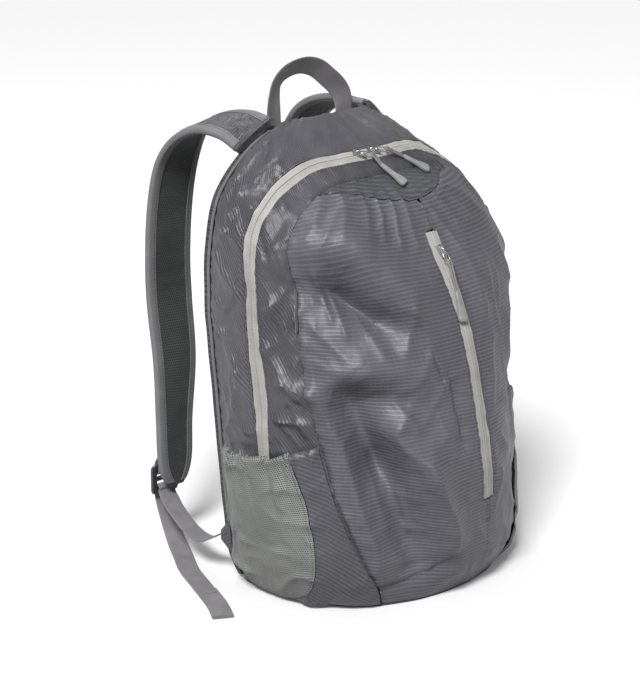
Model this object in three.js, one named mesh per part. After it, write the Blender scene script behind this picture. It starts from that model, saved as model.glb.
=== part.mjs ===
// A light daypack of ripstop nylon that folds away into its own cap pocket, standing on its base.
// Millimetres, +Z up. X runs across the pack, its front panels face -Y and its padded back +Y.
// The origin is the middle of the flat base, on the ground.
import * as THREE from "three";

// Driving dimensions of the body
const BODY_HEIGHT = 436;
const BODY_WIDTH = 298;
const BODY_DEPTH = 193;
const BACK_AT_BASE = 83;
const BACK_LEAN = 22;
const REAR_DEPTH = 44;
const HALF_GIRTH = 290;
const CLOTH = 1.4;
const SEAM_GAP = 0.4;
const BASE_WALL = 2;

// Driving dimensions of the fittings
const ZIP_WIDTH = 13;
const ZIP_WALL = 2;
const POCKET_DEPTH = 19;
const POCKET_CLEAR = 0.45;
const PAD_DEPTH = 11.5;
const PAD_EDGE = 14;
const STRAP_WIDTH = 55;
const STRAP_WALL = 8;
const STRAP_REACH = 126;
const STRAP_TIP = 60;
const STRAP_BELOW = 12;
const STRAP_CLEAR = 1.36;
const RIGHT_STRAP_INWARD = 16;
const WEBBING_WIDTH = 20;
const WEBBING_WALL = 1.5;
const HAUL_WIDTH = 20;
const HAUL_SPAN = 93;
const HAUL_RISE = 48;
const HAUL_TILT = 0.6;
const TAB_WALL = 1.6;
const LOCK_WIDTH = 33;
const LOCK_HEIGHT = 30;
const LOCK_WALL = 3.5;
const SLIDER_LENGTH = 13;
const SLIDER_WALL = 3.2;
const LINK_LENGTH = 14;
const LINK_WALL = 1.4;
const LINK_WIRE = 1.5;
const CORD_WIDTH = 2;
const GRIP_LENGTH = 30;
const GRIP_WALL = 3.6;

// Sections of the body from its base up. height is a share of BODY_HEIGHT, half and rim are shares of half
// of BODY_WIDTH at the widest line and at the back rim, lean is a share of BACK_LEAN, depth a share of
// BODY_DEPTH, rear a share of REAR_DEPTH, right the share of the left half's width that the right half has,
// and square the exponent of the front's rounded outline.
const SECTIONS = [
  { height: 0.0, half: 0.88, rim: 0.84, lean: 0.0, depth: 0.83, rear: 0.85, right: 1, square: 2.25 },
  { height: 0.06, half: 0.94, rim: 0.9, lean: 0.15, depth: 0.93, rear: 0.95, right: 1, square: 2.2 },
  { height: 0.15, half: 0.96, rim: 0.92, lean: 0.3, depth: 0.97, rear: 1.0, right: 1, square: 2.15 },
  { height: 0.28, half: 0.98, rim: 0.95, lean: 0.4, depth: 1.0, rear: 1.0, right: 1, square: 2.05 },
  { height: 0.45, half: 1.0, rim: 0.97, lean: 0.62, depth: 0.98, rear: 1.0, right: 1, square: 2.05 },
  { height: 0.6, half: 1.0, rim: 0.98, lean: 0.85, depth: 0.93, rear: 1.0, right: 1, square: 2.2 },
  { height: 0.7, half: 1.0, rim: 0.97, lean: 0.95, depth: 0.83, rear: 1.0, right: 1, square: 2.6 },
  { height: 0.77, half: 0.98, rim: 0.95, lean: 0.97, depth: 0.73, rear: 1.0, right: 0.98, square: 2.5 },
  { height: 0.84, half: 0.93, rim: 0.9, lean: 0.95, depth: 0.63, rear: 0.9, right: 0.95, square: 2.1 },
  { height: 0.88, half: 0.86, rim: 0.84, lean: 0.9, depth: 0.49, rear: 0.8, right: 0.9, square: 2.0 },
  { height: 0.92, half: 0.76, rim: 0.74, lean: 0.82, depth: 0.38, rear: 0.65, right: 0.82, square: 2.0 },
  { height: 0.96, half: 0.61, rim: 0.59, lean: 0.73, depth: 0.23, rear: 0.4, right: 0.8, square: 2.0 },
  { height: 1.0, half: 0.34, rim: 0.33, lean: 0.64, depth: 0.05, rear: 0.1, right: 0.85, square: 2.0 },
];
const REAR_SHARE = 0.1; // share of the way around taken by the part behind the widest line

// Seams, as places on the body: around runs from 0 at the left rim over 0.5 at the front to 1 at the right
// rim, height is a share of BODY_HEIGHT and s is the place along the seam. ZIP_LINE and FRONT_SEAM are
// given from the left end of the base up to the top centre, and are mirrored from there on.
const ZIP_LINE = [
  { s: 0.0, around: 0.132, height: 0.0 },
  { s: 0.1, around: 0.13, height: 0.3 },
  { s: 0.2, around: 0.129, height: 0.5 },
  { s: 0.28, around: 0.121, height: 0.664 },
  { s: 0.32, around: 0.119, height: 0.745 },
  { s: 0.355, around: 0.133, height: 0.806 },
  { s: 0.385, around: 0.167, height: 0.849 },
  { s: 0.41, around: 0.212, height: 0.884 },
  { s: 0.435, around: 0.27, height: 0.911 },
  { s: 0.46, around: 0.335, height: 0.925 },
  { s: 0.5, around: 0.5, height: 0.929 },
];
const FRONT_SEAM = [
  { s: 0.0, around: 0.345, height: 0.0 },
  { s: 0.03, around: 0.322, height: 0.06 },
  { s: 0.06, around: 0.296, height: 0.113 },
  { s: 0.1, around: 0.263, height: 0.216 },
  { s: 0.14, around: 0.243, height: 0.31 },
  { s: 0.18, around: 0.229, height: 0.41 },
  { s: 0.23, around: 0.216, height: 0.53 },
  { s: 0.28, around: 0.212, height: 0.65 },
  { s: 0.33, around: 0.213, height: 0.755 },
  { s: 0.36, around: 0.229, height: 0.8 },
  { s: 0.39, around: 0.26, height: 0.84 },
  { s: 0.42, around: 0.31, height: 0.868 },
  { s: 0.45, around: 0.37, height: 0.886 },
  { s: 0.5, around: 0.5, height: 0.892 },
];
const CAP_SEAM = [
  { s: 0.0, around: 0.33, height: 0.8735 },
  { s: 0.2, around: 0.396, height: 0.863 },
  { s: 0.4, around: 0.46, height: 0.848 },
  { s: 0.5, around: 0.513, height: 0.8425 },
  { s: 0.6, around: 0.56, height: 0.848 },
  { s: 0.8, around: 0.618, height: 0.86 },
  { s: 1.0, around: 0.672, height: 0.8735 },
];
const CENTRE_SEAM = [
  { s: 0.0, around: 0.54, height: 0.0 },
  { s: 0.1, around: 0.537, height: 0.1 },
  { s: 0.22, around: 0.531, height: 0.21 },
  { s: 0.35, around: 0.523, height: 0.31 },
  { s: 0.5, around: 0.515, height: 0.45 },
  { s: 0.65, around: 0.508, height: 0.58 },
  { s: 0.8, around: 0.504, height: 0.7 },
  { s: 0.9, around: 0.506, height: 0.775 },
  { s: 1.0, around: 0.513, height: 0.838 },
];
// Runs of equal steps along the seams, so that the panels on both sides of a seam share its corners. The
// first run reaches the main zip's end, inside the side pocket, and the last but one the end of the cap.
const SEAM_RUNS = [
  { to: 0.1, steps: 4 },
  { to: 0.106, steps: 1 },
  { to: 0.34, steps: 10 },
  { to: 0.4275, steps: 6 },
  { to: 0.5, steps: 8 },
];
const MAIN_ZIP_FIRST = 5; // step where the main zip starts
const CAP_FIRST = 21; // step where the cap starts
const CENTRE_RUNS = [
  { to: 0.214, steps: 5 },
  { to: 0.221, steps: 1 },
  { to: 0.905, steps: 18 },
  { to: 0.912, steps: 1 },
  { to: 0.985, steps: 4 },
];
const POCKET_ZIP_STEPS = { first: 6, last: 24 };

// Rim of the rear gusset from the left end of the base over the top edge.
const RIM = [
  { s: 0.0, around: 0.004, height: 0.0 },
  { s: 0.1, around: 0.004, height: 0.3 },
  { s: 0.2, around: 0.004, height: 0.5 },
  { s: 0.28, around: 0.004, height: 0.67 },
  { s: 0.34, around: 0.004, height: 0.8 },
  { s: 0.385, around: 0.004, height: 0.9 },
  { s: 0.41, around: 0.004, height: 0.955 },
  { s: 0.435, around: 0.02, height: 1.0 },
  { s: 0.46, around: 0.18, height: 1.0 },
  { s: 0.5, around: 0.5, height: 1.0 },
];

// Side pocket, for the left side: the mouth's height, and where its mesh insert starts and ends around the
// body at each share of the way up to the mouth.
const POCKET_MOUTH = [
  { around: 0.02, height: 0.325 },
  { around: 0.096, height: 0.33 },
  { around: 0.159, height: 0.343 },
  { around: 0.24, height: 0.37 },
];
const POCKET_INSERT = [
  { up: 0.0, start: 0.1, end: 0.15 },
  { up: 0.05, start: 0.066, end: 0.183 },
  { up: 0.12, start: 0.04, end: 0.207 },
  { up: 0.22, start: 0.026, end: 0.219 },
  { up: 0.4, start: 0.022, end: 0.22 },
  { up: 0.65, start: 0.022, end: 0.211 },
  { up: 0.85, start: 0.026, end: 0.199 },
  { up: 1.0, start: 0.031, end: 0.188 },
];

// Folds of the cloth: straight strokes between two places on the body, raised or sunk by rise over a spread.
const FOLDS = [
  { a1: 0.23, h1: 0.79, a2: 0.34, h2: 0.775, rise: 6, spread: 20 },
  { a1: 0.34, h1: 0.775, a2: 0.43, h2: 0.67, rise: 8, spread: 24 },
  { a1: 0.235, h1: 0.71, a2: 0.32, h2: 0.695, rise: -9, spread: 22 },
  { a1: 0.32, h1: 0.695, a2: 0.39, h2: 0.62, rise: -9, spread: 22 },
  { a1: 0.225, h1: 0.48, a2: 0.315, h2: 0.53, rise: 4, spread: 16 },
  { a1: 0.315, h1: 0.53, a2: 0.41, h2: 0.505, rise: 4, spread: 16 },
  { a1: 0.289, h1: 0.46, a2: 0.322, h2: 0.32, rise: -10, spread: 20 },
  { a1: 0.322, h1: 0.32, a2: 0.4, h2: 0.1, rise: -12, spread: 22 },
  { a1: 0.36, h1: 0.4, a2: 0.41, h2: 0.3, rise: 5, spread: 18 },
  { a1: 0.41, h1: 0.3, a2: 0.46, h2: 0.13, rise: 4, spread: 16 },
  { a1: 0.235, h1: 0.47, a2: 0.325, h2: 0.07, rise: 4, spread: 13 },
  { a1: 0.458, h1: 0.495, a2: 0.476, h2: 0.35, rise: -4, spread: 10 },
  { a1: 0.34, h1: 0.055, a2: 0.45, h2: 0.08, rise: -5, spread: 12 },
  { a1: 0.27, h1: 0.865, a2: 0.16, h2: 0.775, rise: -3, spread: 10 },
  { a1: 0.19, h1: 0.7, a2: 0.14, h2: 0.42, rise: -4, spread: 13 },
  { a1: 0.1, h1: 0.68, a2: 0.03, h2: 0.56, rise: -3, spread: 13 },
  { a1: 0.62, h1: 0.62, a2: 0.66, h2: 0.3, rise: -5, spread: 22 },
  { a1: 0.68, h1: 0.43, a2: 0.73, h2: 0.41, rise: -5, spread: 14 },
  { a1: 0.64, h1: 0.23, a2: 0.69, h2: 0.19, rise: -6, spread: 12 },
  { a1: 0.8, h1: 0.7, a2: 0.88, h2: 0.55, rise: -3, spread: 14 },
];

// Left shoulder strap from the shoulder seam to its tip. x is in shares of half of BODY_WIDTH, reach of
// STRAP_REACH behind the rim, drop of the fall from the seam to STRAP_TIP, width of STRAP_WIDTH, and roll the
// lean of the width in degrees.
const STRAP = [
  { s: 0.0, x: -0.595, reach: 0.0, drop: 0.0, width: 0.84, roll: 38 },
  { s: 0.1, x: -0.567, reach: 0.25, drop: -0.015, width: 0.82, roll: 24 },
  { s: 0.2, x: -0.56, reach: 0.55, drop: -0.004, width: 0.84, roll: 12 },
  { s: 0.28, x: -0.563, reach: 0.78, drop: 0.042, width: 0.9, roll: 8 },
  { s: 0.34, x: -0.555, reach: 0.93, drop: 0.12, width: 0.97, roll: -2 },
  { s: 0.42, x: -0.565, reach: 1.0, drop: 0.235, width: 1.0, roll: -3 },
  { s: 0.54, x: -0.585, reach: 1.01, drop: 0.38, width: 1.0, roll: -2 },
  { s: 0.66, x: -0.6, reach: 0.98, drop: 0.5, width: 1.0, roll: 0 },
  { s: 0.78, x: -0.625, reach: 0.9, drop: 0.66, width: 0.94, roll: 0 },
  { s: 0.88, x: -0.675, reach: 0.85, drop: 0.82, width: 0.8, roll: 0 },
  { s: 0.95, x: -0.69, reach: 0.83, drop: 0.93, width: 0.74, roll: 6 },
  { s: 1.0, x: -0.69, reach: 0.83, drop: 1.0, width: 0.5, roll: 14 },
];

// Left webbing from the tip of its tab to the ladder lock, over the lock's lower bar and down to the floor.
const WEBBING = [
  { x: -136, y: 100, z: 45, turn: 8 },
  { x: -134.5, y: 112, z: 38, turn: 6 },
  { x: -131, y: 130, z: 29.5, turn: 0 },
  { x: -126, y: 156, z: 31, turn: 0 },
  { x: -118, y: 188, z: 42, turn: 0 },
  { x: -109.5, y: 207, z: 48, turn: 0 },
  { x: -107, y: 212.6, z: 52.5, turn: 0 },
  { x: -107, y: 212.8, z: 55.8, turn: 0 },
  { x: -107, y: 214.4, z: 58.2, turn: 0 },
  { x: -107, y: 216, z: 58.9, turn: 0 },
  { x: -107, y: 217.6, z: 58.2, turn: 0 },
  { x: -107, y: 219.2, z: 55.8, turn: 0 },
  { x: -107, y: 219.3, z: 52, turn: 0 },
  { x: -107.5, y: 218, z: 42, turn: 0 },
  { x: -110, y: 206, z: 22, turn: -6 },
  { x: -117, y: 188, z: 7, turn: -14 },
  { x: -130, y: 164, z: 1.9, turn: -24 },
  { x: -149, y: 134, z: 1.3, turn: -25 },
  { x: -167, y: 96, z: 1.3, turn: -25 },
  { x: -188, y: 52, z: 1.3, turn: -26 },
  { x: -204, y: 26, z: 1.3, turn: -30 },
];
const LOCK_AT = { x: -107, y: 216, z: 62 };
const LOCK_TOP_SHARE = 0.57; // share of LOCK_HEIGHT above LOCK_AT
const LOCK_CORNER = 5;
const LOCK_SLOTS = [
  { from: -7.5, to: 1 },
  { from: 5, to: 12 },
];

// Left keeper's path round the lock's top bar: side across, back behind and rise above LOCK_AT.
const KEEPER = [
  { side: 3, back: -5.8, rise: 34 },
  { side: 1, back: -4.9, rise: 24 },
  { side: 0, back: -2.9, rise: 15 },
  { side: 0, back: -2.9, rise: 11.5 },
  { side: 0, back: -1.2, rise: 8.4 },
  { side: 0, back: 1.2, rise: 8.4 },
  { side: 0, back: 2.9, rise: 11.5 },
  { side: 0, back: 2.9, rise: 18 },
  { side: 1, back: 0.4, rise: 24 },
  { side: 3, back: -3.7, rise: 34 },
];

// Corners of the left strap tab: the webbing's two, then its lower and upper end on the rim.
const TAB = [
  { x: -138.3, y: 98.8, z: 50 },
  { x: -138.3, y: 98.8, z: 40 },
  { x: -135.6, y: 85.5, z: 27 },
  { x: -139.4, y: 86.5, z: 62 },
];

// Blank ribbon tag in the left front seam: its run along the seam, and how far it stands out.
const TAG = { from: 0.265, to: 0.302, steps: 4, half: 0.002, lift: 2, reach: 6.5 };

// Haul loop, across the pack: x in shares of HAUL_SPAN, up of HAUL_RISE.
const HAUL = [
  { x: -0.57, up: -0.42 },
  { x: -0.57, up: 0.1 },
  { x: -0.56, up: 0.4 },
  { x: -0.527, up: 0.62 },
  { x: -0.43, up: 0.79 },
  { x: -0.28, up: 0.88 },
  { x: -0.118, up: 0.89 },
  { x: 0.043, up: 0.79 },
  { x: 0.183, up: 0.6 },
  { x: 0.312, up: 0.4 },
  { x: 0.398, up: 0.19 },
  { x: 0.43, up: -0.04 },
  { x: 0.43, up: -0.42 },
];

// Pulls: the slider's place, the link's far end, and the grip's two ends, all as places on the body, and the
// grip's middle above the cloth.
const PULLS = [
  { name: "main_left", zip: [0.452, 0.928], link: [0.472, 0.92], tab: [0.484, 0.904], end: [0.506, 0.866], lift: 4.2 },
  { name: "main_right", zip: [0.497, 0.9295], link: [0.527, 0.924], tab: [0.577, 0.91], end: [0.62, 0.871], lift: 2.4 },
  { name: "pocket", zip: [0.5035, 0.738], link: [0.504, 0.705], tab: [0.503, 0.66], end: [0.501, 0.598], lift: 3.4 },
];

const FINISHES = {
  nylon: { color: 0x66666d, roughness: 0.5, metalness: 0 },
  nylon_dark: { color: 0x58585e, roughness: 0.55, metalness: 0 },
  zip_tape: { color: 0xa3a39c, roughness: 0.7, metalness: 0 },
  pocket_mesh: { color: 0x7f8782, roughness: 0.75, metalness: 0 },
  air_mesh: { color: 0x3d4341, roughness: 0.9, metalness: 0 },
  webbing: { color: 0x787679, roughness: 0.65, metalness: 0 },
  plastic: { color: 0x3f4042, roughness: 0.4, metalness: 0 },
  metal: { color: 0xb9b9bb, roughness: 0.3, metalness: 1 },
  rubber: { color: 0xa5a8a5, roughness: 0.55, metalness: 0 },
};

const group = new THREE.Group();
group.name = "packable_backpack";

function add(name, geometry, finish) {
  const mesh = new THREE.Mesh(geometry, new THREE.MeshStandardMaterial(FINISHES[finish]));
  mesh.name = name;
  group.add(mesh);
}

// Reads a column of a table at a key, on a smooth curve through the rows.
function smooth(rows, key, column, at) {
  const last = rows.length - 1;
  const t = Math.min(Math.max(at, rows[0][key]), rows[last][key]);
  let i = 0;
  while (i < last - 1 && t > rows[i + 1][key]) i += 1;
  const slope = (k) => {
    const low = rows[Math.max(k - 1, 0)];
    const high = rows[Math.min(k + 1, last)];
    return (high[column] - low[column]) / (high[key] - low[key]);
  };
  const step = rows[i + 1][key] - rows[i][key];
  const u = (t - rows[i][key]) / step;
  const u2 = u * u;
  const u3 = u2 * u;
  return (
    (2 * u3 - 3 * u2 + 1) * rows[i][column] +
    (u3 - 2 * u2 + u) * step * slope(i) +
    (3 * u2 - 2 * u3) * rows[i + 1][column] +
    (u3 - u2) * step * slope(i + 1)
  );
}

// The back plane's distance behind the origin, at a height share.
function backAt(height) {
  return BACK_AT_BASE + smooth(SECTIONS, "height", "lean", height) * BACK_LEAN;
}

// The unfolded body's point at a place around it and a height share.
function bodyPoint(around, height) {
  const read = (column) => smooth(SECTIONS, "height", column, height);
  const half = (read("half") * BODY_WIDTH) / 2;
  const rim = (read("rim") * BODY_WIDTH) / 2;
  const back = backAt(height);
  const rear = read("rear") * REAR_DEPTH;
  const front = read("depth") * BODY_DEPTH - rear;
  const power = 2 / read("square");
  const side = around < 0.5 ? -1 : read("right");
  const near = Math.min(around, 1 - around);
  const floor = BASE_WALL + SEAM_GAP;
  const z = floor + height * (BODY_HEIGHT - floor);
  if (near < REAR_SHARE) {
    const t = near / REAR_SHARE;
    const x = rim + (half - rim) * Math.sin((t * Math.PI) / 2);
    return new THREE.Vector3(side * x, back - rear * t, z);
  }
  const angle = (Math.PI * (near - REAR_SHARE)) / (1 - 2 * REAR_SHARE);
  const x = half * Math.pow(Math.max(Math.cos(angle), 0), power);
  const y = back - rear - front * Math.pow(Math.sin(angle), power);
  return new THREE.Vector3(side * x, y, z);
}

// How far the cloth is raised by its folds at a place.
function foldRise(around, height) {
  let rise = 0;
  for (const fold of FOLDS) {
    const x = (fold.a2 - fold.a1) * HALF_GIRTH * 2;
    const y = (fold.h2 - fold.h1) * BODY_HEIGHT;
    const px = (around - fold.a1) * HALF_GIRTH * 2;
    const py = (height - fold.h1) * BODY_HEIGHT;
    const t = Math.min(Math.max((px * x + py * y) / (x * x + y * y), 0), 1);
    const away = Math.hypot(px - x * t, py - y * t) / fold.spread;
    rise += fold.rise * Math.exp(-away * away);
  }
  return rise;
}

// The outward direction of the body, without or with its folds, at a place.
function outward(point, around, height) {
  const step = 0.004;
  const a = Math.min(Math.max(around, step), 1 - step);
  const h = Math.min(Math.max(height, step), 1 - step);
  const across = point(a + step, h).sub(point(a - step, h));
  const up = point(a, h + step).sub(point(a, h - step));
  return across.cross(up).normalize();
}
function clothPoint(around, height) {
  return bodyPoint(around, height).addScaledVector(outward(bodyPoint, around, height), foldRise(around, height));
}
function onCloth(around, height, lift) {
  const point = clothPoint(around, height);
  if (lift === 0) return point;
  return point.addScaledVector(outward(clothPoint, around, height), lift);
}

// A closed solid between two grids of points, wound so that it faces out.
function shell(outer, inner, columns, rows) {
  const positions = [];
  const index = [];
  for (const side of [outer, inner]) {
    for (let i = 0; i <= columns; i += 1) {
      for (let j = 0; j <= rows; j += 1) positions.push(...side(i / columns, j / rows).toArray());
    }
  }
  const size = (columns + 1) * (rows + 1);
  const at = (layer, i, j) => layer * size + i * (rows + 1) + j;
  const quad = (a, b, c, d) => index.push(a, b, c, a, c, d);
  for (let i = 0; i < columns; i += 1) {
    for (let j = 0; j < rows; j += 1) {
      quad(at(0, i, j), at(0, i + 1, j), at(0, i + 1, j + 1), at(0, i, j + 1));
      quad(at(1, i, j), at(1, i, j + 1), at(1, i + 1, j + 1), at(1, i + 1, j));
    }
  }
  for (let i = 0; i < columns; i += 1) {
    quad(at(0, i, 0), at(1, i, 0), at(1, i + 1, 0), at(0, i + 1, 0));
    quad(at(0, i, rows), at(0, i + 1, rows), at(1, i + 1, rows), at(1, i, rows));
  }
  for (let j = 0; j < rows; j += 1) {
    quad(at(0, 0, j), at(0, 0, j + 1), at(1, 0, j + 1), at(1, 0, j));
    quad(at(0, columns, j), at(1, columns, j), at(1, columns, j + 1), at(0, columns, j + 1));
  }
  return solid(positions, index);
}

// Makes a geometry of a closed list of triangles, turned outside out if they face in.
function solid(positions, index) {
  const corner = (k) => new THREE.Vector3().fromArray(positions, index[k] * 3);
  let volume = 0;
  for (let k = 0; k < index.length; k += 3) volume += corner(k).dot(corner(k + 1).cross(corner(k + 2)));
  if (volume < 0) {
    for (let k = 0; k < index.length; k += 3) [index[k + 1], index[k + 2]] = [index[k + 2], index[k + 1]];
  }
  const geometry = new THREE.BufferGeometry();
  geometry.setAttribute("position", new THREE.Float32BufferAttribute(positions, 3));
  geometry.setIndex(index);
  return geometry;
}

// A closed solid through rings of points, with a fan on each end.
function loft(rings) {
  const sides = rings[0].length;
  const positions = rings.flat().flatMap((point) => point.toArray());
  const index = [];
  for (let i = 0; i < rings.length - 1; i += 1) {
    for (let j = 0; j < sides; j += 1) {
      const a = i * sides + j;
      const b = i * sides + ((j + 1) % sides);
      index.push(a, b, b + sides, a, b + sides, a + sides);
    }
  }
  const end = (rings.length - 1) * sides;
  for (let j = 1; j < sides - 1; j += 1) {
    index.push(0, j + 1, j);
    index.push(end, end + j, end + j + 1);
  }
  return solid(positions, index);
}

// A panel of cloth on the body. place gives around and height at its own two shares.
function panel(place, columns, rows, lift = 0, wall = CLOTH) {
  const layer = (out) => (u, v) => onCloth(...place(u, v), out);
  return shell(layer(lift), layer(lift - wall), columns, rows);
}

// A seam as a function of its place, mirrored past the middle where the table gives only its left half.
function seam(rows) {
  const mirrored = rows[rows.length - 1].s === 0.5;
  return (s) => {
    const key = mirrored && s > 0.5 ? 1 - s : s;
    const around = smooth(rows, "s", "around", key);
    return [mirrored && s > 0.5 ? 1 - around : around, smooth(rows, "s", "height", key)];
  };
}

// A line beside a seam, side millimetres to the left of its run as seen from outside.
function beside(line, side) {
  return (s) => {
    const step = 0.003;
    const width = typeof side === "function" ? side(s) : side;
    const [around, height] = line(s);
    const here = bodyPoint(around, height);
    const run = bodyPoint(...line(Math.min(s + step, 1))).sub(bodyPoint(...line(Math.max(s - step, 0))));
    const across = outward(bodyPoint, around, height).cross(run).normalize().multiplyScalar(width);
    const a = bodyPoint(around + step, height).sub(here).divideScalar(step);
    const h = bodyPoint(around, height + step).sub(here).divideScalar(step);
    const aa = a.dot(a);
    const ah = a.dot(h);
    const hh = h.dot(h);
    const det = aa * hh - ah * ah;
    const ca = across.dot(a);
    const ch = across.dot(h);
    return [around + (ca * hh - ch * ah) / det, Math.max(height + (ch * aa - ca * ah) / det, 0)];
  };
}

const mix = (a, b, t) => a + (b - a) * t;
const zipLine = seam(ZIP_LINE);
const frontSeam = seam(FRONT_SEAM);
const capSeam = seam(CAP_SEAM);
const centreSeam = seam(CENTRE_SEAM);
const rimLine = seam(RIM);

// Base and body panels
function basePanel() {
  const outline = new THREE.Shape();
  const steps = 40;
  for (let i = 0; i <= steps; i += 1) {
    const point = clothPoint(mix(0.001, 0.999, i / steps), 0);
    if (i === 0) outline.moveTo(point.x, point.y);
    else outline.lineTo(point.x, point.y);
  }
  return new THREE.ExtrudeGeometry(outline, { depth: BASE_WALL, bevelEnabled: false, steps: 1 });
}

// The places at the steps of a list of runs.
function placesOf(runs) {
  const places = [0];
  for (const run of runs) {
    const from = places[places.length - 1];
    for (let k = 1; k <= run.steps; k += 1) places.push(mix(from, run.to, k / run.steps));
  }
  return places;
}
const halfPlaces = placesOf(SEAM_RUNS);
const seamPlaces = [...halfPlaces, ...halfPlaces.slice(0, -1).reverse().map((s) => 1 - s)];
const seamSteps = seamPlaces.length - 1;
const centrePlaces = placesOf(CENTRE_RUNS);
const middle = seamSteps / 2;

// Half of the gap beside a zip: the zip and a seam between its first and last steps, half a seam elsewhere.
const gapHalf = (step, first, last) => (step >= first && step <= last ? ZIP_WIDTH / 2 + SEAM_GAP : SEAM_GAP / 2);
const MAIN_ZIP_LAST = seamSteps - MAIN_ZIP_FIRST;
const mainGap = (step) => gapHalf(step, MAIN_ZIP_FIRST, MAIN_ZIP_LAST);
const pocketGap = (step) => gapHalf(step, POCKET_ZIP_STEPS.first, POCKET_ZIP_STEPS.last);

// The place beside a seam at a step, out millimetres to the left of its run.
const seamStep = (line, step, out) => beside(line, out)(seamPlaces[step]);
const centreStep = (step, out) => beside(centreSeam, out)(centrePlaces[step]);
const capStep = (share, out) => beside(capSeam, out)(share);

// A panel between two edges that give a place on the body at each step from first to last.
function stepped(one, other, first, last, rows, lift, wall) {
  const columns = last - first;
  const place = (u, v) => {
    const step = first + Math.round(u * columns);
    const a = one(step);
    const b = other(step);
    return [mix(a[0], b[0], v), mix(a[1], b[1], v)];
  };
  return panel(place, columns, rows, lift, wall);
}

add("bottom_panel", basePanel(), "nylon_dark");
const rearGusset = stepped(
  (k) => rimLine(seamPlaces[k]), (k) => seamStep(zipLine, k, mainGap(k)), 0, seamSteps, 5);
add("rear_gusset", rearGusset, "nylon");
const frontGusset = stepped(
  (k) => seamStep(zipLine, k, -mainGap(k)), (k) => seamStep(frontSeam, k, SEAM_GAP / 2), 0, seamSteps, 4);
add("front_gusset", frontGusset, "nylon");
const ZIP_LIFT = 0.6;
const mainZip = stepped(
  (k) => seamStep(zipLine, k, ZIP_WIDTH / 2),
  (k) => seamStep(zipLine, k, -ZIP_WIDTH / 2),
  MAIN_ZIP_FIRST, MAIN_ZIP_LAST, 2, ZIP_LIFT, ZIP_WALL);
add("main_zip", mainZip, "zip_tape");
const pocketZip = stepped(
  (k) => centreStep(k, ZIP_WIDTH / 2),
  (k) => centreStep(k, -ZIP_WIDTH / 2),
  POCKET_ZIP_STEPS.first, POCKET_ZIP_STEPS.last, 2, ZIP_LIFT, ZIP_WALL);
add("pocket_zip", pocketZip, "zip_tape");

// The cap spans the middle of the front seam and the whole of its own seam, in as many steps.
const capSteps = seamSteps - 2 * CAP_FIRST;
const CAP_TIP = 0.8;
const cap = stepped(
  (k) => seamStep(frontSeam, k, -SEAM_GAP / 2),
  (k) =>
    k === CAP_FIRST || k === seamSteps - CAP_FIRST
      ? seamStep(frontSeam, k, -SEAM_GAP / 2 - CAP_TIP)
      : capStep((k - CAP_FIRST) / capSteps, SEAM_GAP / 2),
  CAP_FIRST, seamSteps - CAP_FIRST, 3);
add("stow_pocket_cap", cap, "nylon");

// Each front panel runs up the front seam and then along its half of the cap's seam.
const CAP_MIDDLE_CLEAR = 0.007;
const panelOut = (k) => (k === CAP_FIRST ? -1.5 * SEAM_GAP - CAP_TIP : -SEAM_GAP / 2);
const leftEdge = (k) =>
  k <= CAP_FIRST
    ? seamStep(frontSeam, k, panelOut(k))
    : capStep((k - CAP_FIRST) / capSteps - (k === middle ? CAP_MIDDLE_CLEAR : 0), -SEAM_GAP / 2);
const rightEdge = (k) =>
  k <= CAP_FIRST
    ? seamStep(frontSeam, seamSteps - k, panelOut(k))
    : capStep(1 - (k - CAP_FIRST) / capSteps + (k === middle ? CAP_MIDDLE_CLEAR : 0), -SEAM_GAP / 2);
add("front_panel_left", stepped(leftEdge, (k) => centreStep(k, pocketGap(k)), 0, middle, 12), "nylon");
add("front_panel_right", stepped(rightEdge, (k) => centreStep(k, -pocketGap(k)), 0, middle, 7), "nylon");

// Shares of a length with two closer steps at each end, for a rounded edge.
function edgedShares(length, inner) {
  const edge = PAD_EDGE / length;
  const shares = [0, edge * 0.3, edge];
  for (let i = 1; i < inner; i += 1) shares.push(mix(edge, 1 - edge, i / inner));
  return [...shares, 1 - edge, 1 - edge * 0.3, 1];
}

// Padded back, behind the rim: its front face is flat against the rim and its rear face is domed.
const PAD_EDGE_SHARE = 0.45; // depth left at its edge
function backPad() {
  const across = edgedShares(BODY_WIDTH, 6);
  const up = edgedShares(BODY_HEIGHT, 10);
  const place = (u, v) => {
    const i = Math.round(u * (across.length - 1));
    const share = up[Math.round(v * (up.length - 1))];
    const height = mix(0.004, 0.985, share);
    const left = clothPoint(0.001, height);
    const right = clothPoint(0.999, height);
    const edge = Math.min(across[i], 1 - across[i]) * (right.x - left.x);
    const end = Math.min(share, 1 - share) * BODY_HEIGHT;
    return { x: mix(left.x, right.x, across[i]), y: backAt(height) + SEAM_GAP, z: left.z, edge, end };
  };
  const rear = (u, v) => {
    const at = place(u, v);
    const t = Math.min(at.edge / PAD_EDGE, at.end / PAD_EDGE, 1);
    const depth = mix(PAD_EDGE_SHARE, 1, Math.sqrt(t * (2 - t)));
    return new THREE.Vector3(at.x, at.y + PAD_DEPTH * depth, at.z);
  };
  const front = (u, v) => {
    const at = place(u, v);
    return new THREE.Vector3(at.x, at.y, at.z);
  };
  return shell(rear, front, across.length - 1, up.length - 1);
}
add("back_panel", backPad(), "air_mesh");

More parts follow.
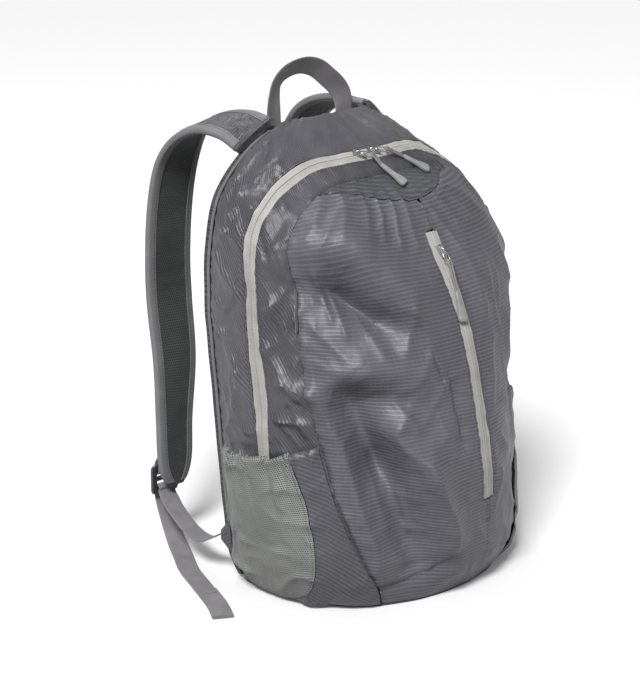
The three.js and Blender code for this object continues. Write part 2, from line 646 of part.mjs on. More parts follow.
// Side pockets. side is -1 on the left and 1 on the right.
function pocketPoint(side, around, up, lift) {
  const mouth = smooth(POCKET_MOUTH, "around", "height", around);
  const height = mix(0.006, mouth, up);
  const end = smooth(FRONT_SEAM.slice(0, 8), "height", "around", height);
  const t = Math.min(Math.max((around - 0.018) / (end - 0.018), 0), 1);
  const round = Math.pow(Math.sin(Math.PI * t), 0.8);
  const gathers = 1 + 0.09 * Math.pow(up, 6) * Math.sin(t * 40);
  const bulge = POCKET_DEPTH * round * gathers * (0.06 + 0.94 * Math.sqrt(Math.sin((Math.PI / 2) * up)));
  const place = side < 0 ? around : 1 - around;
  return onCloth(place, height, SEAM_GAP + CLOTH + POCKET_CLEAR + bulge + lift);
}
function pocketPiece(side, place, columns, rows) {
  const layer = (lift) => (u, v) => pocketPoint(side, ...place(u, v), lift);
  return shell(layer(0), layer(-CLOTH), columns, rows);
}
const insertEdge = (column, up) => smooth(POCKET_INSERT, "up", column, up);
for (const [hand, side] of [["left", -1], ["right", 1]]) {
  const insert = (u, v) => [mix(insertEdge("start", v), insertEdge("end", v), u), v];
  const front = (u, v) => {
    const height = mix(0.006, smooth(POCKET_MOUTH, "around", "height", 0.23), v);
    const end = smooth(FRONT_SEAM.slice(0, 8), "height", "around", height) - 0.003;
    return [mix(insertEdge("end", v) + 0.0012, end, u), v];
  };
  add(`side_pocket_mesh_${hand}`, pocketPiece(side, insert, 16, 7), "pocket_mesh");
  add(`side_pocket_panel_${hand}`, pocketPiece(side, front, 5, 7), "nylon_dark");
}

// A flat band along centre points, across its own width directions.
function band(points, widths, across, wall) {
  const rings = points.map((point, i) => {
    const before = points[Math.max(i - 1, 0)];
    const after = points[Math.min(i + 1, points.length - 1)];
    const run = after.clone().sub(before).normalize();
    const wide = across[i].clone().addScaledVector(run, -across[i].dot(run)).normalize();
    const thick = run.clone().cross(wide).normalize();
    const corner = (w, t) =>
      point.clone().addScaledVector(wide, (w * widths[i]) / 2).addScaledVector(thick, (t * wall) / 2);
    return [corner(-1, -1), corner(1, -1), corner(1, 1), corner(-1, 1)];
  });
  return loft(rings);
}

// Points along a smooth curve through a list, with a finer step.
function eased(rows, keys, count) {
  const curves = keys.map((key) => rows.map((row, i) => ({ i, value: row[key] })));
  return Array.from({ length: count }, (_, k) => {
    const at = (k / (count - 1)) * (rows.length - 1);
    return curves.map((curve) => smooth(curve, "i", "value", at));
  });
}

// Mirrors a geometry to the right side.
function mirrored(geometry) {
  const positions = Array.from(geometry.getAttribute("position").array);
  for (let i = 0; i < positions.length; i += 3) positions[i] = -positions[i];
  return solid(positions, Array.from(geometry.index.array));
}
function addPair(name, make, finish) {
  add(`${name}_left`, make(), finish);
  add(`${name}_right`, mirrored(make()), finish);
}

// Padded shoulder strap with rounded edges. inward moves its root towards the middle of the pack.
const ROOT_END = 0.45; // share of the strap where the root's shift ends
const SHOULDER_Z = BODY_HEIGHT - STRAP_BELOW;
const SHOULDER_Y = backAt(SHOULDER_Z / BODY_HEIGHT) + STRAP_CLEAR;
const STRAP_DROP = SHOULDER_Z - STRAP_TIP;
function strap(inward) {
  const count = 30;
  const read = (column, i) => smooth(STRAP, "s", column, i / (count - 1));
  const centre = (i) => {
    const shift = inward * Math.cos((Math.PI / 2) * Math.min(i / (count - 1) / ROOT_END, 1)) ** 2;
    return new THREE.Vector3(
      (read("x", i) * BODY_WIDTH) / 2 + shift,
      SHOULDER_Y + read("reach", i) * STRAP_REACH,
      SHOULDER_Z - read("drop", i) * STRAP_DROP,
    );
  };
  const rings = [];
  for (let i = 0; i < count; i += 1) {
    const run = centre(Math.min(i + 0.5, count - 1)).sub(centre(Math.max(i - 0.5, 0))).normalize();
    const roll = THREE.MathUtils.degToRad(read("roll", i));
    const wide = new THREE.Vector3(Math.cos(roll), 0, Math.sin(roll));
    wide.addScaledVector(run, -wide.dot(run)).normalize();
    const thick = run.clone().cross(wide).normalize();
    const half = (read("width", i) * STRAP_WIDTH) / 2;
    const wall = STRAP_WALL / 2;
    const ring = [
      [-1, -0.35], [-0.88, -1], [0.88, -1], [1, -0.35], [1, 0.35], [0.88, 1], [-0.88, 1], [-1, 0.35],
    ];
    rings.push(ring.map(([w, t]) =>
      centre(i).addScaledVector(wide, w * half).addScaledVector(thick, t * wall)));
  }
  return loft(rings);
}
add("strap_left", strap(0), "nylon_dark");
add("strap_right", mirrored(strap(RIGHT_STRAP_INWARD)), "nylon_dark");

// Webbing from the tab over the ladder lock to its loose end
function webbing() {
  const rows = eased(WEBBING, ["x", "y", "z", "turn"], 41);
  const points = rows.map(([x, y, z]) => new THREE.Vector3(x, y, z));
  const across = rows.map((row) => {
    const turn = THREE.MathUtils.degToRad(row[3]);
    return new THREE.Vector3(Math.cos(turn), Math.sin(turn), 0);
  });
  return band(points, rows.map(() => WEBBING_WIDTH), across, WEBBING_WALL);
}
addPair("webbing", webbing, "webbing");

// Three-bar ladder lock
function ladderLock() {
  const half = LOCK_WIDTH / 2;
  const top = LOCK_HEIGHT * LOCK_TOP_SHARE;
  const low = top - LOCK_HEIGHT;
  const r = LOCK_CORNER;
  const outline = new THREE.Shape();
  outline.moveTo(-half + r, low);
  outline.lineTo(half - r, low);
  outline.quadraticCurveTo(half, low, half, low + r);
  outline.lineTo(half, top - r);
  outline.quadraticCurveTo(half, top, half - r, top);
  outline.lineTo(-half + r, top);
  outline.quadraticCurveTo(-half, top, -half, top - r);
  outline.lineTo(-half, low + r);
  outline.quadraticCurveTo(-half, low, -half + r, low);
  const slot = WEBBING_WIDTH / 2 + 1;
  for (const { from, to } of LOCK_SLOTS) {
    const hole = new THREE.Path();
    hole.moveTo(-slot, from);
    hole.lineTo(-slot, to);
    hole.lineTo(slot, to);
    hole.lineTo(slot, from);
    outline.holes.push(hole);
  }
  const geometry = new THREE.ExtrudeGeometry(outline, { depth: LOCK_WALL, bevelEnabled: false, curveSegments: 4 });
  geometry.translate(0, 0, -LOCK_WALL / 2);
  geometry.rotateX(Math.PI / 2);
  geometry.translate(LOCK_AT.x, LOCK_AT.y, LOCK_AT.z);
  return geometry;
}
add("ladder_lock_left", ladderLock(), "plastic");
const otherLock = ladderLock();
otherLock.translate(-2 * LOCK_AT.x, 0, 0);
add("ladder_lock_right", otherLock, "plastic");

// Keeper: a folded piece of webbing from the back of the strap's tip round the lock's top bar
function keeper() {
  const points = KEEPER.map(
    ({ side, back, rise }) => new THREE.Vector3(LOCK_AT.x + side, LOCK_AT.y + back, LOCK_AT.z + rise),
  );
  const across = points.map(() => new THREE.Vector3(1, 0, 0));
  return band(points, points.map(() => WEBBING_WIDTH), across, WEBBING_WALL);
}
addPair("strap_keeper", keeper, "webbing");

// Triangular tab sewn into the lower corner of the rim
function strapTab() {
  const ring = (shift) => TAB.map(({ x, y, z }) => new THREE.Vector3(x + shift, y, z));
  return loft([ring(-TAB_WALL / 2), ring(TAB_WALL / 2)]);
}
addPair("strap_tab", strapTab, "nylon_dark");

// Haul loop behind the top edge
function haulLoop() {
  const rows = eased(HAUL, ["x", "up"], 31);
  const y = backAt(0.96) + 2 * SEAM_GAP + PAD_DEPTH + WEBBING_WALL / 2;
  const points = rows.map(([x, up]) => new THREE.Vector3(x * HAUL_SPAN, y, BODY_HEIGHT + up * HAUL_RISE));
  const across = points.map((point, i) => {
    const before = points[Math.max(i - 1, 0)];
    const after = points[Math.min(i + 1, points.length - 1)];
    const run = after.clone().sub(before).normalize();
    return new THREE.Vector3(run.z, HAUL_TILT * Math.sin((Math.PI * i) / (points.length - 1)), -run.x);
  });
  return band(points, points.map(() => HAUL_WIDTH), across, WEBBING_WALL);
}
add("haul_loop", haulLoop(), "webbing");

// Blank ribbon loop in the left front seam
function seamTag() {
  const rows = Array.from({ length: TAG.steps + 1 }, (_, i) => frontSeam(mix(TAG.from, TAG.to, i / TAG.steps)));
  const ring = ([around, height]) => {
    const corner = (side, lift) => onCloth(around + side * TAG.half, height, lift);
    return [corner(-1, TAG.lift), corner(1, TAG.lift), corner(1, TAG.reach), corner(-1, TAG.reach)];
  };
  return loft(rows.map(ring));
}
add("side_loop_tag", seamTag(), "webbing");

// Sliders, links, cords and grips of the zips
function frameBetween(origin, target, out) {
  const along = target.clone().sub(origin).normalize();
  const up = out.clone().addScaledVector(along, -out.dot(along)).normalize();
  return new THREE.Matrix4().makeBasis(along, up.clone().cross(along), up).setPosition(origin);
}
function extruded(outline, wall) {
  const geometry = new THREE.ExtrudeGeometry(outline, { depth: wall, bevelEnabled: false, curveSegments: 6 });
  geometry.translate(0, 0, -wall / 2);
  return geometry;
}
function slider() {
  const length = SLIDER_LENGTH / 2;
  const outline = new THREE.Shape();
  outline.moveTo(-length, -3);
  outline.lineTo(-length * 0.2, -4);
  outline.lineTo(length * 0.8, -2.8);
  outline.lineTo(length, 0);
  outline.lineTo(length * 0.8, 2.8);
  outline.lineTo(-length * 0.2, 4);
  outline.lineTo(-length, 3);
  return extruded(outline, SLIDER_WALL);
}
function link() {
  const length = LINK_LENGTH;
  const outline = new THREE.Shape();
  outline.absellipse(length / 2, 0, length / 2, 3.6, 0, Math.PI * 2, false);
  const hole = new THREE.Path();
  hole.absellipse(length / 2, 0, length / 2 - LINK_WIRE, 3.6 - LINK_WIRE, 0, Math.PI * 2, true);
  outline.holes.push(hole);
  return extruded(outline, LINK_WALL);
}
function cord(length) {
  const points = [
    [length, -1.5, 0], [2.5, -1.6, 0], [-0.5, -1.5, -0.2], [-1.6, 0, -0.2], [-0.5, 1.5, -0.2],
    [2.5, 1.6, 0], [length, 1.5, 0],
  ];
  const path = new THREE.CatmullRomCurve3(points.map((p) => new THREE.Vector3(...p)), false, "centripetal");
  const round = new THREE.Shape();
  round.absarc(0, 0, CORD_WIDTH / 2, 0, Math.PI * 2, false);
  return new THREE.ExtrudeGeometry(round, { steps: 12, extrudePath: path, curveSegments: 3 });
}
function grip() {
  const length = GRIP_LENGTH;
  const outline = new THREE.Shape();
  outline.moveTo(0, -2.4);
  outline.lineTo(length * 0.55, -3.4);
  outline.quadraticCurveTo(length * 0.68, -5.6, length * 0.85, -5.2);
  outline.quadraticCurveTo(length, -4.4, length, 0);
  outline.quadraticCurveTo(length, 4.4, length * 0.85, 5.2);
  outline.quadraticCurveTo(length * 0.68, 5.6, length * 0.55, 3.4);
  outline.lineTo(0, 2.4);
  return extruded(outline, GRIP_WALL);
}
for (const pull of PULLS) {
  const sliderLift = ZIP_LIFT + SEAM_GAP + SLIDER_WALL / 2;
  const linkLift = sliderLift + (SLIDER_WALL + LINK_WALL) / 2 + SEAM_GAP;
  const out = outward(clothPoint, ...pull.link);
  const place = (at, lift) => onCloth(...at, lift);
  const sliderFrame = frameBetween(place(pull.zip, sliderLift), place(pull.link, sliderLift), out);
  const linkFrame = frameBetween(place(pull.zip, linkLift), place(pull.link, linkLift), out);
  const knot = new THREE.Vector3(LINK_LENGTH - LINK_WIRE, 0, (LINK_WALL + CORD_WIDTH) / 2 + 1.3 * SEAM_GAP);
  knot.applyMatrix4(linkFrame);
  const gripFrame = frameBetween(place(pull.tab, pull.lift), place(pull.end, pull.lift), out);
  const gripStart = new THREE.Vector3(-2.2 * SEAM_GAP, 0, 0).applyMatrix4(gripFrame);
  const cordFrame = frameBetween(knot, gripStart, out);
  add(`${pull.name}_slider`, slider().applyMatrix4(sliderFrame), "metal");
  add(`${pull.name}_link`, link().applyMatrix4(linkFrame), "metal");
  add(`${pull.name}_cord`, cord(knot.distanceTo(gripStart)).applyMatrix4(cordFrame), "webbing");
  add(`${pull.name}_grip`, grip().applyMatrix4(gripFrame), "rubber");
}

export default group;
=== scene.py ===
"""A packable nylon daypack: cloth body, zips, pockets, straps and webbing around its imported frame."""

import logging
import math
from dataclasses import dataclass, field
from enum import Enum
from typing import Callable, Optional, Sequence

import bpy
import numpy as np
from mathutils import Matrix, Vector


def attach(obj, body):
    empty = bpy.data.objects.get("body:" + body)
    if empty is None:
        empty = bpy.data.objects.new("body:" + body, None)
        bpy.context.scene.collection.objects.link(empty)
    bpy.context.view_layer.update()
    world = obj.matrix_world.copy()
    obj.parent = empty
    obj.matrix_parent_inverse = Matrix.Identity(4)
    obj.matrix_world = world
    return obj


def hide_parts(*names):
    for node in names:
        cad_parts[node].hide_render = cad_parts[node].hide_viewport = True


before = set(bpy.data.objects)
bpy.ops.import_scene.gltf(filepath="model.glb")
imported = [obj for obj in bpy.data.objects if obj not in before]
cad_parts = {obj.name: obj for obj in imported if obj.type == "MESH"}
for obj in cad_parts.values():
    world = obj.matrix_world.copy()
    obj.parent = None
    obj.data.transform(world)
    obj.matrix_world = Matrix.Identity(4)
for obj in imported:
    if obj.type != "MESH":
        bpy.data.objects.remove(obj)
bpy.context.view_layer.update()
log = logging.getLogger("daypack")

Array = np.ndarray
Socket = bpy.types.NodeSocket
Piece = bpy.types.Object
MM = 0.001


# Shape of the body


def smooth(rows: Array, at: Array, column: int) -> Array:
    """Read a column of a table at keys in its first column, on a smooth curve.

    Args:
        rows: The table, sorted by its first column.
        at: The keys to read.
        column: The column wanted.

    Returns:
        The values at the keys.
    """
    keys, values = rows[:, 0], rows[:, column]
    count = len(keys)
    low = np.maximum(np.arange(count) - 1, 0)
    high = np.minimum(np.arange(count) + 1, count - 1)
    slopes = (values[high] - values[low]) / (keys[high] - keys[low])
    at = np.clip(at, keys[0], keys[-1])
    i = np.clip(np.searchsorted(keys, at, side="right") - 1, 0, count - 2)
    step = keys[i + 1] - keys[i]
    u = (at - keys[i]) / step
    u2, u3 = u * u, u * u * u
    return (
        (2 * u3 - 3 * u2 + 1) * values[i]
        + (u3 - 2 * u2 + u) * step * slopes[i]
        + (3 * u2 - 2 * u3) * values[i + 1]
        + (u3 - u2) * step * slopes[i + 1]
    )


def unit(vectors: Array) -> Array:
    """Scale vectors in the last axis to length one."""
    return vectors / np.maximum(np.linalg.norm(vectors, axis=-1, keepdims=True), 1e-12)


class FoldKind(Enum):
    """How the cloth moves along a fold's path."""

    SOFT = "soft"
    SHARP = "sharp"
    STEP = "step"
    FACET = "facet"


@dataclass(frozen=True)
class Fold:
    """One fold of the cloth: a path of places on the body, raised or sunk in millimetres."""

    kind: FoldKind
    rise: float
    spread: float
    path: tuple[tuple[float, float], ...]
    taper: float = 0.2

    def offset(self, x: Array, y: Array, girth: float, height: float) -> Array:
        """Work out how far the fold raises the cloth.

        Args:
            x: Places round the body in millimetres.
            y: Places up the body in millimetres.
            girth: The whole way round in millimetres.
            height: The whole way up in millimetres.

        Returns:
            The rise at each place in millimetres.
        """
        path = np.array(self.path) * (girth, height)
        lengths = np.linalg.norm(np.diff(path, axis=0), axis=1)
        total = lengths.sum()
        best = np.full(x.shape, 1e9)
        side = np.zeros(x.shape)
        along = np.zeros(x.shape)
        before = 0.0
        for start, end, length in zip(path[:-1], path[1:], lengths):
            run = (end - start) / length
            dx, dy = x - start[0], y - start[1]
            t = np.clip(dx * run[0] + dy * run[1], 0, length)
            away = np.hypot(dx - run[0] * t, dy - run[1] * t)
            nearer = away < best
            best = np.where(nearer, away, best)
            side = np.where(nearer, np.sign(run[0] * dy - run[1] * dx), side)
            along = np.where(nearer, before + t, along)
            before += length
        share = along / total
        fade = 1.0
        if self.taper > 0:
            fade = np.clip(np.minimum(share, 1 - share) / self.taper, 0, 1)
            fade = 0.25 + 0.75 * fade * fade * (3 - 2 * fade)
        near = best / self.spread
        if self.kind is FoldKind.SOFT:
            shape = np.exp(-near * near)
        elif self.kind is FoldKind.SHARP:
            shape = np.exp(-(np.sqrt(near * near + 0.02) - 0.1414) * 1.6)
        elif self.kind is FoldKind.STEP:
            signed = side * near
            shape = np.tanh(signed * 4.5) * np.exp(-near * near * 0.8)
        else:
            falling = np.where(near < 1, 1 - 2 * near, -np.exp(-(((near - 1) / 0.7) ** 2)))
            shape = np.where(side < 0, falling, np.exp(-near * near * 1.4))
        return self.rise * fade * shape


def strokes(kind: FoldKind, rows: Sequence[Sequence[float]]) -> tuple[Fold, ...]:
    """Make straight folds from rows of two places, a rise and a spread.

    Args:
        kind: The kind of all of them.
        rows: around and height of both ends, rise and spread in millimetres.

    Returns:
        The folds.
    """
    return tuple(Fold(kind, r[4], r[5], ((r[0], r[1]), (r[2], r[3])), 0.0) for r in rows)


FOLDS: tuple[Fold, ...] = (
    # the broad hollows and swells that the solids have too
    *strokes(
        FoldKind.SOFT,
        (
            (0.23, 0.79, 0.34, 0.775, 6, 20),
            (0.34, 0.775, 0.43, 0.67, 8, 24),
            (0.235, 0.71, 0.32, 0.695, -9, 22),
            (0.32, 0.695, 0.39, 0.62, -9, 22),
            (0.225, 0.48, 0.315, 0.53, 4, 16),
            (0.315, 0.53, 0.41, 0.505, 4, 16),
            (0.289, 0.46, 0.322, 0.32, -10, 20),
            (0.322, 0.32, 0.4, 0.1, -12, 22),
            (0.36, 0.4, 0.41, 0.3, 5, 18),
            (0.41, 0.3, 0.46, 0.13, 4, 16),
            (0.235, 0.47, 0.325, 0.07, 4, 13),
            (0.458, 0.495, 0.476, 0.35, -4, 10),
            (0.34, 0.055, 0.45, 0.08, -5, 12),
            (0.27, 0.865, 0.16, 0.775, -3, 10),
            (0.19, 0.7, 0.14, 0.42, -4, 13),
            (0.1, 0.68, 0.03, 0.56, -3, 13),
            (0.62, 0.62, 0.66, 0.3, -5, 22),
            (0.68, 0.43, 0.73, 0.41, -5, 14),
            (0.64, 0.23, 0.69, 0.19, -6, 12),
            (0.8, 0.7, 0.88, 0.55, -3, 14),
        ),
    ),
)

CREASED: tuple[Fold, ...] = (
    # the crease under the upper bulge, and the lower facet's edges
    Fold(
        FoldKind.FACET,
        8.0,
        34,
        ((0.212, 0.768), (0.28, 0.762), (0.35, 0.742), (0.39, 0.708), (0.42, 0.655), (0.43, 0.6)),
    ),
    Fold(FoldKind.SOFT, -5.0, 22, ((0.25, 0.7), (0.33, 0.665), (0.4, 0.6))),
    Fold(FoldKind.SOFT, 4.0, 26, ((0.26, 0.82), (0.33, 0.8), (0.4, 0.76))),
    Fold(FoldKind.SHARP, 6.0, 12, ((0.425, 0.66), (0.408, 0.605), (0.385, 0.55))),
    Fold(
        FoldKind.FACET,
        5.0,
        26,
        ((0.225, 0.48), (0.27, 0.515), (0.315, 0.53), (0.36, 0.528), (0.4, 0.515), (0.435, 0.49)),
    ),
    Fold(
        FoldKind.SOFT,
        -7.0,
        20,
        ((0.289, 0.465), (0.3, 0.395), (0.322, 0.32), (0.35, 0.235), (0.39, 0.14), (0.4, 0.09)),
    ),
    Fold(
        FoldKind.SHARP,
        9.0,
        14,
        (
            (0.4, 0.47),
            (0.352, 0.4),
            (0.365, 0.362),
            (0.4, 0.325),
            (0.42, 0.26),
            (0.445, 0.2),
            (0.46, 0.145),
            (0.45, 0.09),
        ),
    ),
    Fold(
        FoldKind.SHARP,
        5.0,
        10,
        ((0.235, 0.475), (0.27, 0.37), (0.28, 0.3), (0.295, 0.225), (0.32, 0.14), (0.327, 0.07)),
    ),
    Fold(FoldKind.STEP, 3.0, 12, ((0.325, 0.054), (0.385, 0.05), (0.43, 0.065), (0.45, 0.09))),
    Fold(FoldKind.STEP, -4.0, 12, ((0.46, 0.5), (0.468, 0.43), (0.475, 0.36))),
    *strokes(
        FoldKind.SHARP,
        (
            (0.265, 0.73, 0.275, 0.64, 4.3, 8),
            (0.292, 0.675, 0.296, 0.605, 4.1, 7),
            (0.33, 0.64, 0.35, 0.56, 3.0, 8),
            (0.24, 0.62, 0.29, 0.56, 3.2, 8),
            (0.31, 0.86, 0.26, 0.79, 3.2, 9),
            (0.36, 0.865, 0.33, 0.8, 3.0, 8),
            (0.4, 0.86, 0.385, 0.79, 3.2, 7),
            (0.425, 0.862, 0.42, 0.785, 3.5, 6),
            (0.45, 0.86, 0.452, 0.77, 3.8, 6),
            (0.475, 0.858, 0.482, 0.76, 3.5, 6),
            (0.52, 0.858, 0.53, 0.76, 3.8, 6),
            (0.545, 0.86, 0.56, 0.78, 3.5, 6),
            (0.575, 0.864, 0.6, 0.79, 3.2, 7),
            (0.535, 0.74, 0.555, 0.6, 3.8, 11),
            (0.575, 0.7, 0.6, 0.55, 3.5, 12),
            (0.56, 0.55, 0.545, 0.42, 4.1, 11),
            (0.53, 0.36, 0.55, 0.24, 4.1, 11),
            (0.56, 0.26, 0.54, 0.13, 4.1, 11),
            (0.43, 0.42, 0.455, 0.33, 3.2, 8),
            (0.3, 0.34, 0.33, 0.21, 3.2, 9),
            (0.36, 0.25, 0.385, 0.17, 3.2, 9),
            (0.36, 0.46, 0.39, 0.4, 3.0, 8),
            (0.24, 0.3, 0.28, 0.18, 2.7, 8),
            (0.06, 0.83, 0.15, 0.76, 4.3, 9),
            (0.03, 0.74, 0.12, 0.64, 3.8, 9),
            (0.12, 0.72, 0.04, 0.6, 3.2, 9),
            (0.02, 0.6, 0.1, 0.48, 3.8, 9),
            (0.12, 0.56, 0.06, 0.42, 3.2, 9),
            (0.17, 0.83, 0.2, 0.74, 3.5, 7),
            (0.16, 0.66, 0.2, 0.58, 3.5, 7),
            (0.15, 0.56, 0.2, 0.47, 3.5, 7),
            (0.17, 0.5, 0.21, 0.4, 3.2, 7),
            (0.12, 0.9, 0.2, 0.93, 3.2, 8),
            (0.25, 0.92, 0.33, 0.955, 3.0, 8),
        ),
    ),
)


@dataclass(frozen=True)
class Creasing:
    """Broken creases that lie one way across the cloth, in millimetres and degrees."""

    rise: float
    pitch: float
    turn: float
    seed: float
    start: float = 0.0
    end: float = 1.0

    def offset(self, x: Array, y: Array, girth: float) -> Array:
        """Work out how far the creases raise the cloth.

        Args:
            x: Places round the body in millimetres.
            y: Places up the body in millimetres.
            girth: The whole way round in millimetres.

        Returns:
            The rise at each place in millimetres.
        """
        angle = math.radians(self.turn)
        u = (x * math.cos(angle) + y * math.sin(angle)) / self.pitch
        v = (y * math.cos(angle) - x * math.sin(angle)) / self.pitch
        bend = 0.9 * np.sin(v * 0.83 + self.seed) + 0.5 * np.sin(v * 2.1 + u * 0.7 + self.seed * 2.3)
        ridge = (1 - np.abs(np.sin(u * 2.2 + bend))) ** 1.8
        patches = 0.75 * np.sin(u * 0.9 + 1.7 * self.seed + np.sin(v * 0.61))
        patches = patches * np.sin(v * 0.74 + 3.1 * self.seed)
        share = x / girth
        edge = np.clip((share - self.start) / 0.02, 0, 1) * np.clip((self.end - share) / 0.02, 0, 1)
        return self.rise * ridge * np.clip(0.5 + patches, 0, 1) ** 1.3 * edge


CREASES = (
    Creasing(4.6, 30, 58, 0.4, 0.0, 0.24),
    Creasing(3.6, 21, 118, 1.9, 0.0, 0.24),
    Creasing(1.7, 12, 20, 3.3, 0.0, 0.24),
    Creasing(2.5, 34, 35, 2.2, 0.2, 0.5),
    Creasing(2.0, 24, 110, 4.6, 0.2, 0.5),
    Creasing(2.8, 30, 10, 5.2, 0.5, 0.78),
    Creasing(2.1, 22, 60, 0.9, 0.5, 0.78),
    Creasing(2.5, 26, 122, 2.7, 0.76, 1.0),
    Creasing(2.1, 19, 62, 3.9, 0.76, 1.0),
)

SECTIONS = np.array(
    [
        # height, half, rim, lean, depth, rear, right, square
        (0.0, 0.88, 0.84, 0.0, 0.83, 0.85, 1, 2.25),
        (0.06, 0.94, 0.9, 0.15, 0.93, 0.95, 1, 2.2),
        (0.15, 0.96, 0.92, 0.3, 0.97, 1.0, 1, 2.15),
        (0.28, 0.98, 0.95, 0.4, 1.0, 1.0, 1, 2.05),
        (0.45, 1.0, 0.97, 0.62, 0.98, 1.0, 1, 2.05),
        (0.6, 1.0, 0.98, 0.85, 0.93, 1.0, 1, 2.2),
        (0.7, 1.0, 0.97, 0.95, 0.83, 1.0, 1, 2.6),
        (0.77, 0.98, 0.95, 0.97, 0.73, 1.0, 0.98, 2.5),
        (0.84, 0.93, 0.9, 0.95, 0.63, 0.9, 0.95, 2.1),
        (0.88, 0.86, 0.84, 0.9, 0.49, 0.8, 0.9, 2.0),
        (0.92, 0.76, 0.74, 0.82, 0.38, 0.65, 0.82, 2.0),
        (0.96, 0.61, 0.59, 0.73, 0.23, 0.4, 0.8, 2.0),
        (1.0, 0.34, 0.33, 0.64, 0.05, 0.1, 0.85, 2.0),
    ]
)


def ripple(x: Array, y: Array) -> Array:
    """Give an uneven ripple, between -1.6 and 1.6, at places in millimetres."""
    broad = np.sin(x / 11 + 1.3 * np.sin(y / 27)) * np.sin(y / 17 + x / 41)
    return broad + 0.6 * np.sin(x / 6.1 - y / 13 + 2 * np.sin(y / 33))


@dataclass(frozen=True)
class Body:
    """The filled pack, as places round it from the left rim to the right one and up from its base."""

    height: float = 0.436
    width: float = 0.298
    depth: float = 0.193
    back_at_base: float = 0.083
    back_lean: float = 0.022
    rear_depth: float = 0.044
    girth: float = 0.58
    floor: float = 0.0024
    rear_share: float = 0.1
    folds: tuple[Fold, ...] = FOLDS
    calm_spread: float = 11.0
    ripple_depth: float = 0.28

    def back_at(self, height: Array) -> Array:
        """Return how far the back plane lies behind the middle at a height share."""
        return self.back_at_base + smooth(SECTIONS, np.asarray(height, float), 3) * self.back_lean

    def bare(self, around: Array, height: Array) -> Array:
        """Give points of the unfolded body.

        Args:
            around: Shares of the way round.
            height: Shares of the height.

        Returns:
            The points, with x, y and z in the last axis.
        """
        around, height = np.broadcast_arrays(np.asarray(around, float), np.asarray(height, float))
        half = smooth(SECTIONS, height, 1) * self.width / 2
        rim = smooth(SECTIONS, height, 2) * self.width / 2
        back = self.back_at(height)
        rear = smooth(SECTIONS, height, 5) * self.rear_depth
        front = smooth(SECTIONS, height, 4) * self.depth - rear
        power = 2 / smooth(SECTIONS, height, 7)
        side = np.where(around < 0.5, -1.0, smooth(SECTIONS, height, 6))
        near = np.minimum(around, 1 - around)
        z = self.floor + height * (self.height - self.floor)
        t = near / self.rear_share
        angle = np.pi * (near - self.rear_share) / (1 - 2 * self.rear_share)
        flank = near < self.rear_share
        cos = np.power(np.maximum(np.cos(angle), 0), power)
        sin = np.power(np.maximum(np.sin(angle), 0), power)
        x = np.where(flank, rim + (half - rim) * np.sin(t * np.pi / 2), half * cos)
        y = np.where(flank, back - rear * t, back - rear - front * sin)
        return np.stack([side * x, y, z], -1)

    def outward(self, around: Array, height: Array) -> Array:
        """Give the unfolded body's outward direction at places on it."""
        step = 0.004
        a = np.clip(around, step, 1 - step)
        h = np.clip(height, step, 1 - step)
        across = self.bare(a + step, h) - self.bare(a - step, h)
        up = self.bare(a, h + step) - self.bare(a, h - step)
        return unit(np.cross(across, up))

    def calm(self, x: Array, y: Array) -> Array:
        """Give the share of the added folds that is left beside the zips, at places in millimetres."""
        share = np.ones(np.shape(x))
        for seam, strength in ((ZIP_LINE, 0.95), (CENTRE_SEAM, 0.8)):
            path = tuple(zip(*seam.at(np.linspace(0, 1, 30))))
            line = Fold(FoldKind.SOFT, strength, self.calm_spread, path, 0.0)
            share = share * (1 - line.offset(x, y, self.girth / MM, self.height / MM))
        return share

    def rise(self, around: Array, height: Array) -> Array:
        """Give how far the folds raise the cloth, in metres."""
        x, y = around * self.girth / MM, height * self.height / MM
        total = np.zeros(np.shape(x))
        for fold in self.folds:
            total = total + fold.offset(x, y, self.girth / MM, self.height / MM)
        calm = self.calm(x, y)
        for fold in CREASED:
            total = total + calm * fold.offset(x, y, self.girth / MM, self.height / MM)
        for creasing in CREASES:
            total = total + calm * creasing.offset(x, y, self.girth / MM)
        return (total + self.ripple_depth * ripple(x, y)) * MM

    def cloth(self, around: Array, height: Array, lift: Array = 0.0) -> Array:
        """Give points of the folded cloth, lifted off it by a distance in metres."""
        lifted = self.rise(around, height) + lift
        return self.bare(around, height) + self.outward(around, height) * lifted[..., None]

    def uv(self, around: Array, height: Array) -> Array:
        """Give the cloth's own flat places in metres, for its weave."""
        return np.stack([around * self.girth, height * self.height], -1)


@dataclass(frozen=True)
class Seam:
    """A seam as places on the body; a mirrored one gives its left half only."""

    rows: Array
    mirrored: bool = False

    def at(self, s: Array) -> tuple[Array, Array]:
        """Give around and height at shares of the seam."""
        s = np.asarray(s, float)
        past = (s > 0.5) & self.mirrored
        key = np.where(past, 1 - s, s)
        around = smooth(self.rows, key, 1)
        return np.where(past, 1 - around, around), smooth(self.rows, key, 2)

    def beside(self, body: Body, s: Array, out: Array) -> tuple[Array, Array]:
        """Give the places beside the seam.

        Args:
            body: The body that it runs on.
            s: Shares of the seam.
            out: Metres to the left of its run, seen from outside.

        Returns:
            around and height of each place.
        """
        step = 0.003
        s = np.asarray(s, float)
        around, height = self.at(s)
        here = body.bare(around, height)
        run = body.bare(*self.at(np.minimum(s + step, 1))) - body.bare(*self.at(np.maximum(s - step, 0)))
        across = unit(np.cross(body.outward(around, height), run)) * np.asarray(out)[..., None]
        a = (body.bare(around + step, height) - here) / step
        h = (body.bare(around, height + step) - here) / step
        aa, ah, hh = (a * a).sum(-1), (a * h).sum(-1), (h * h).sum(-1)
        ca, ch = (across * a).sum(-1), (across * h).sum(-1)
        det = aa * hh - ah * ah
        up = np.maximum(height + (ch * aa - ca * ah) / det, 0)
        return around + (ca * hh - ch * ah) / det, up


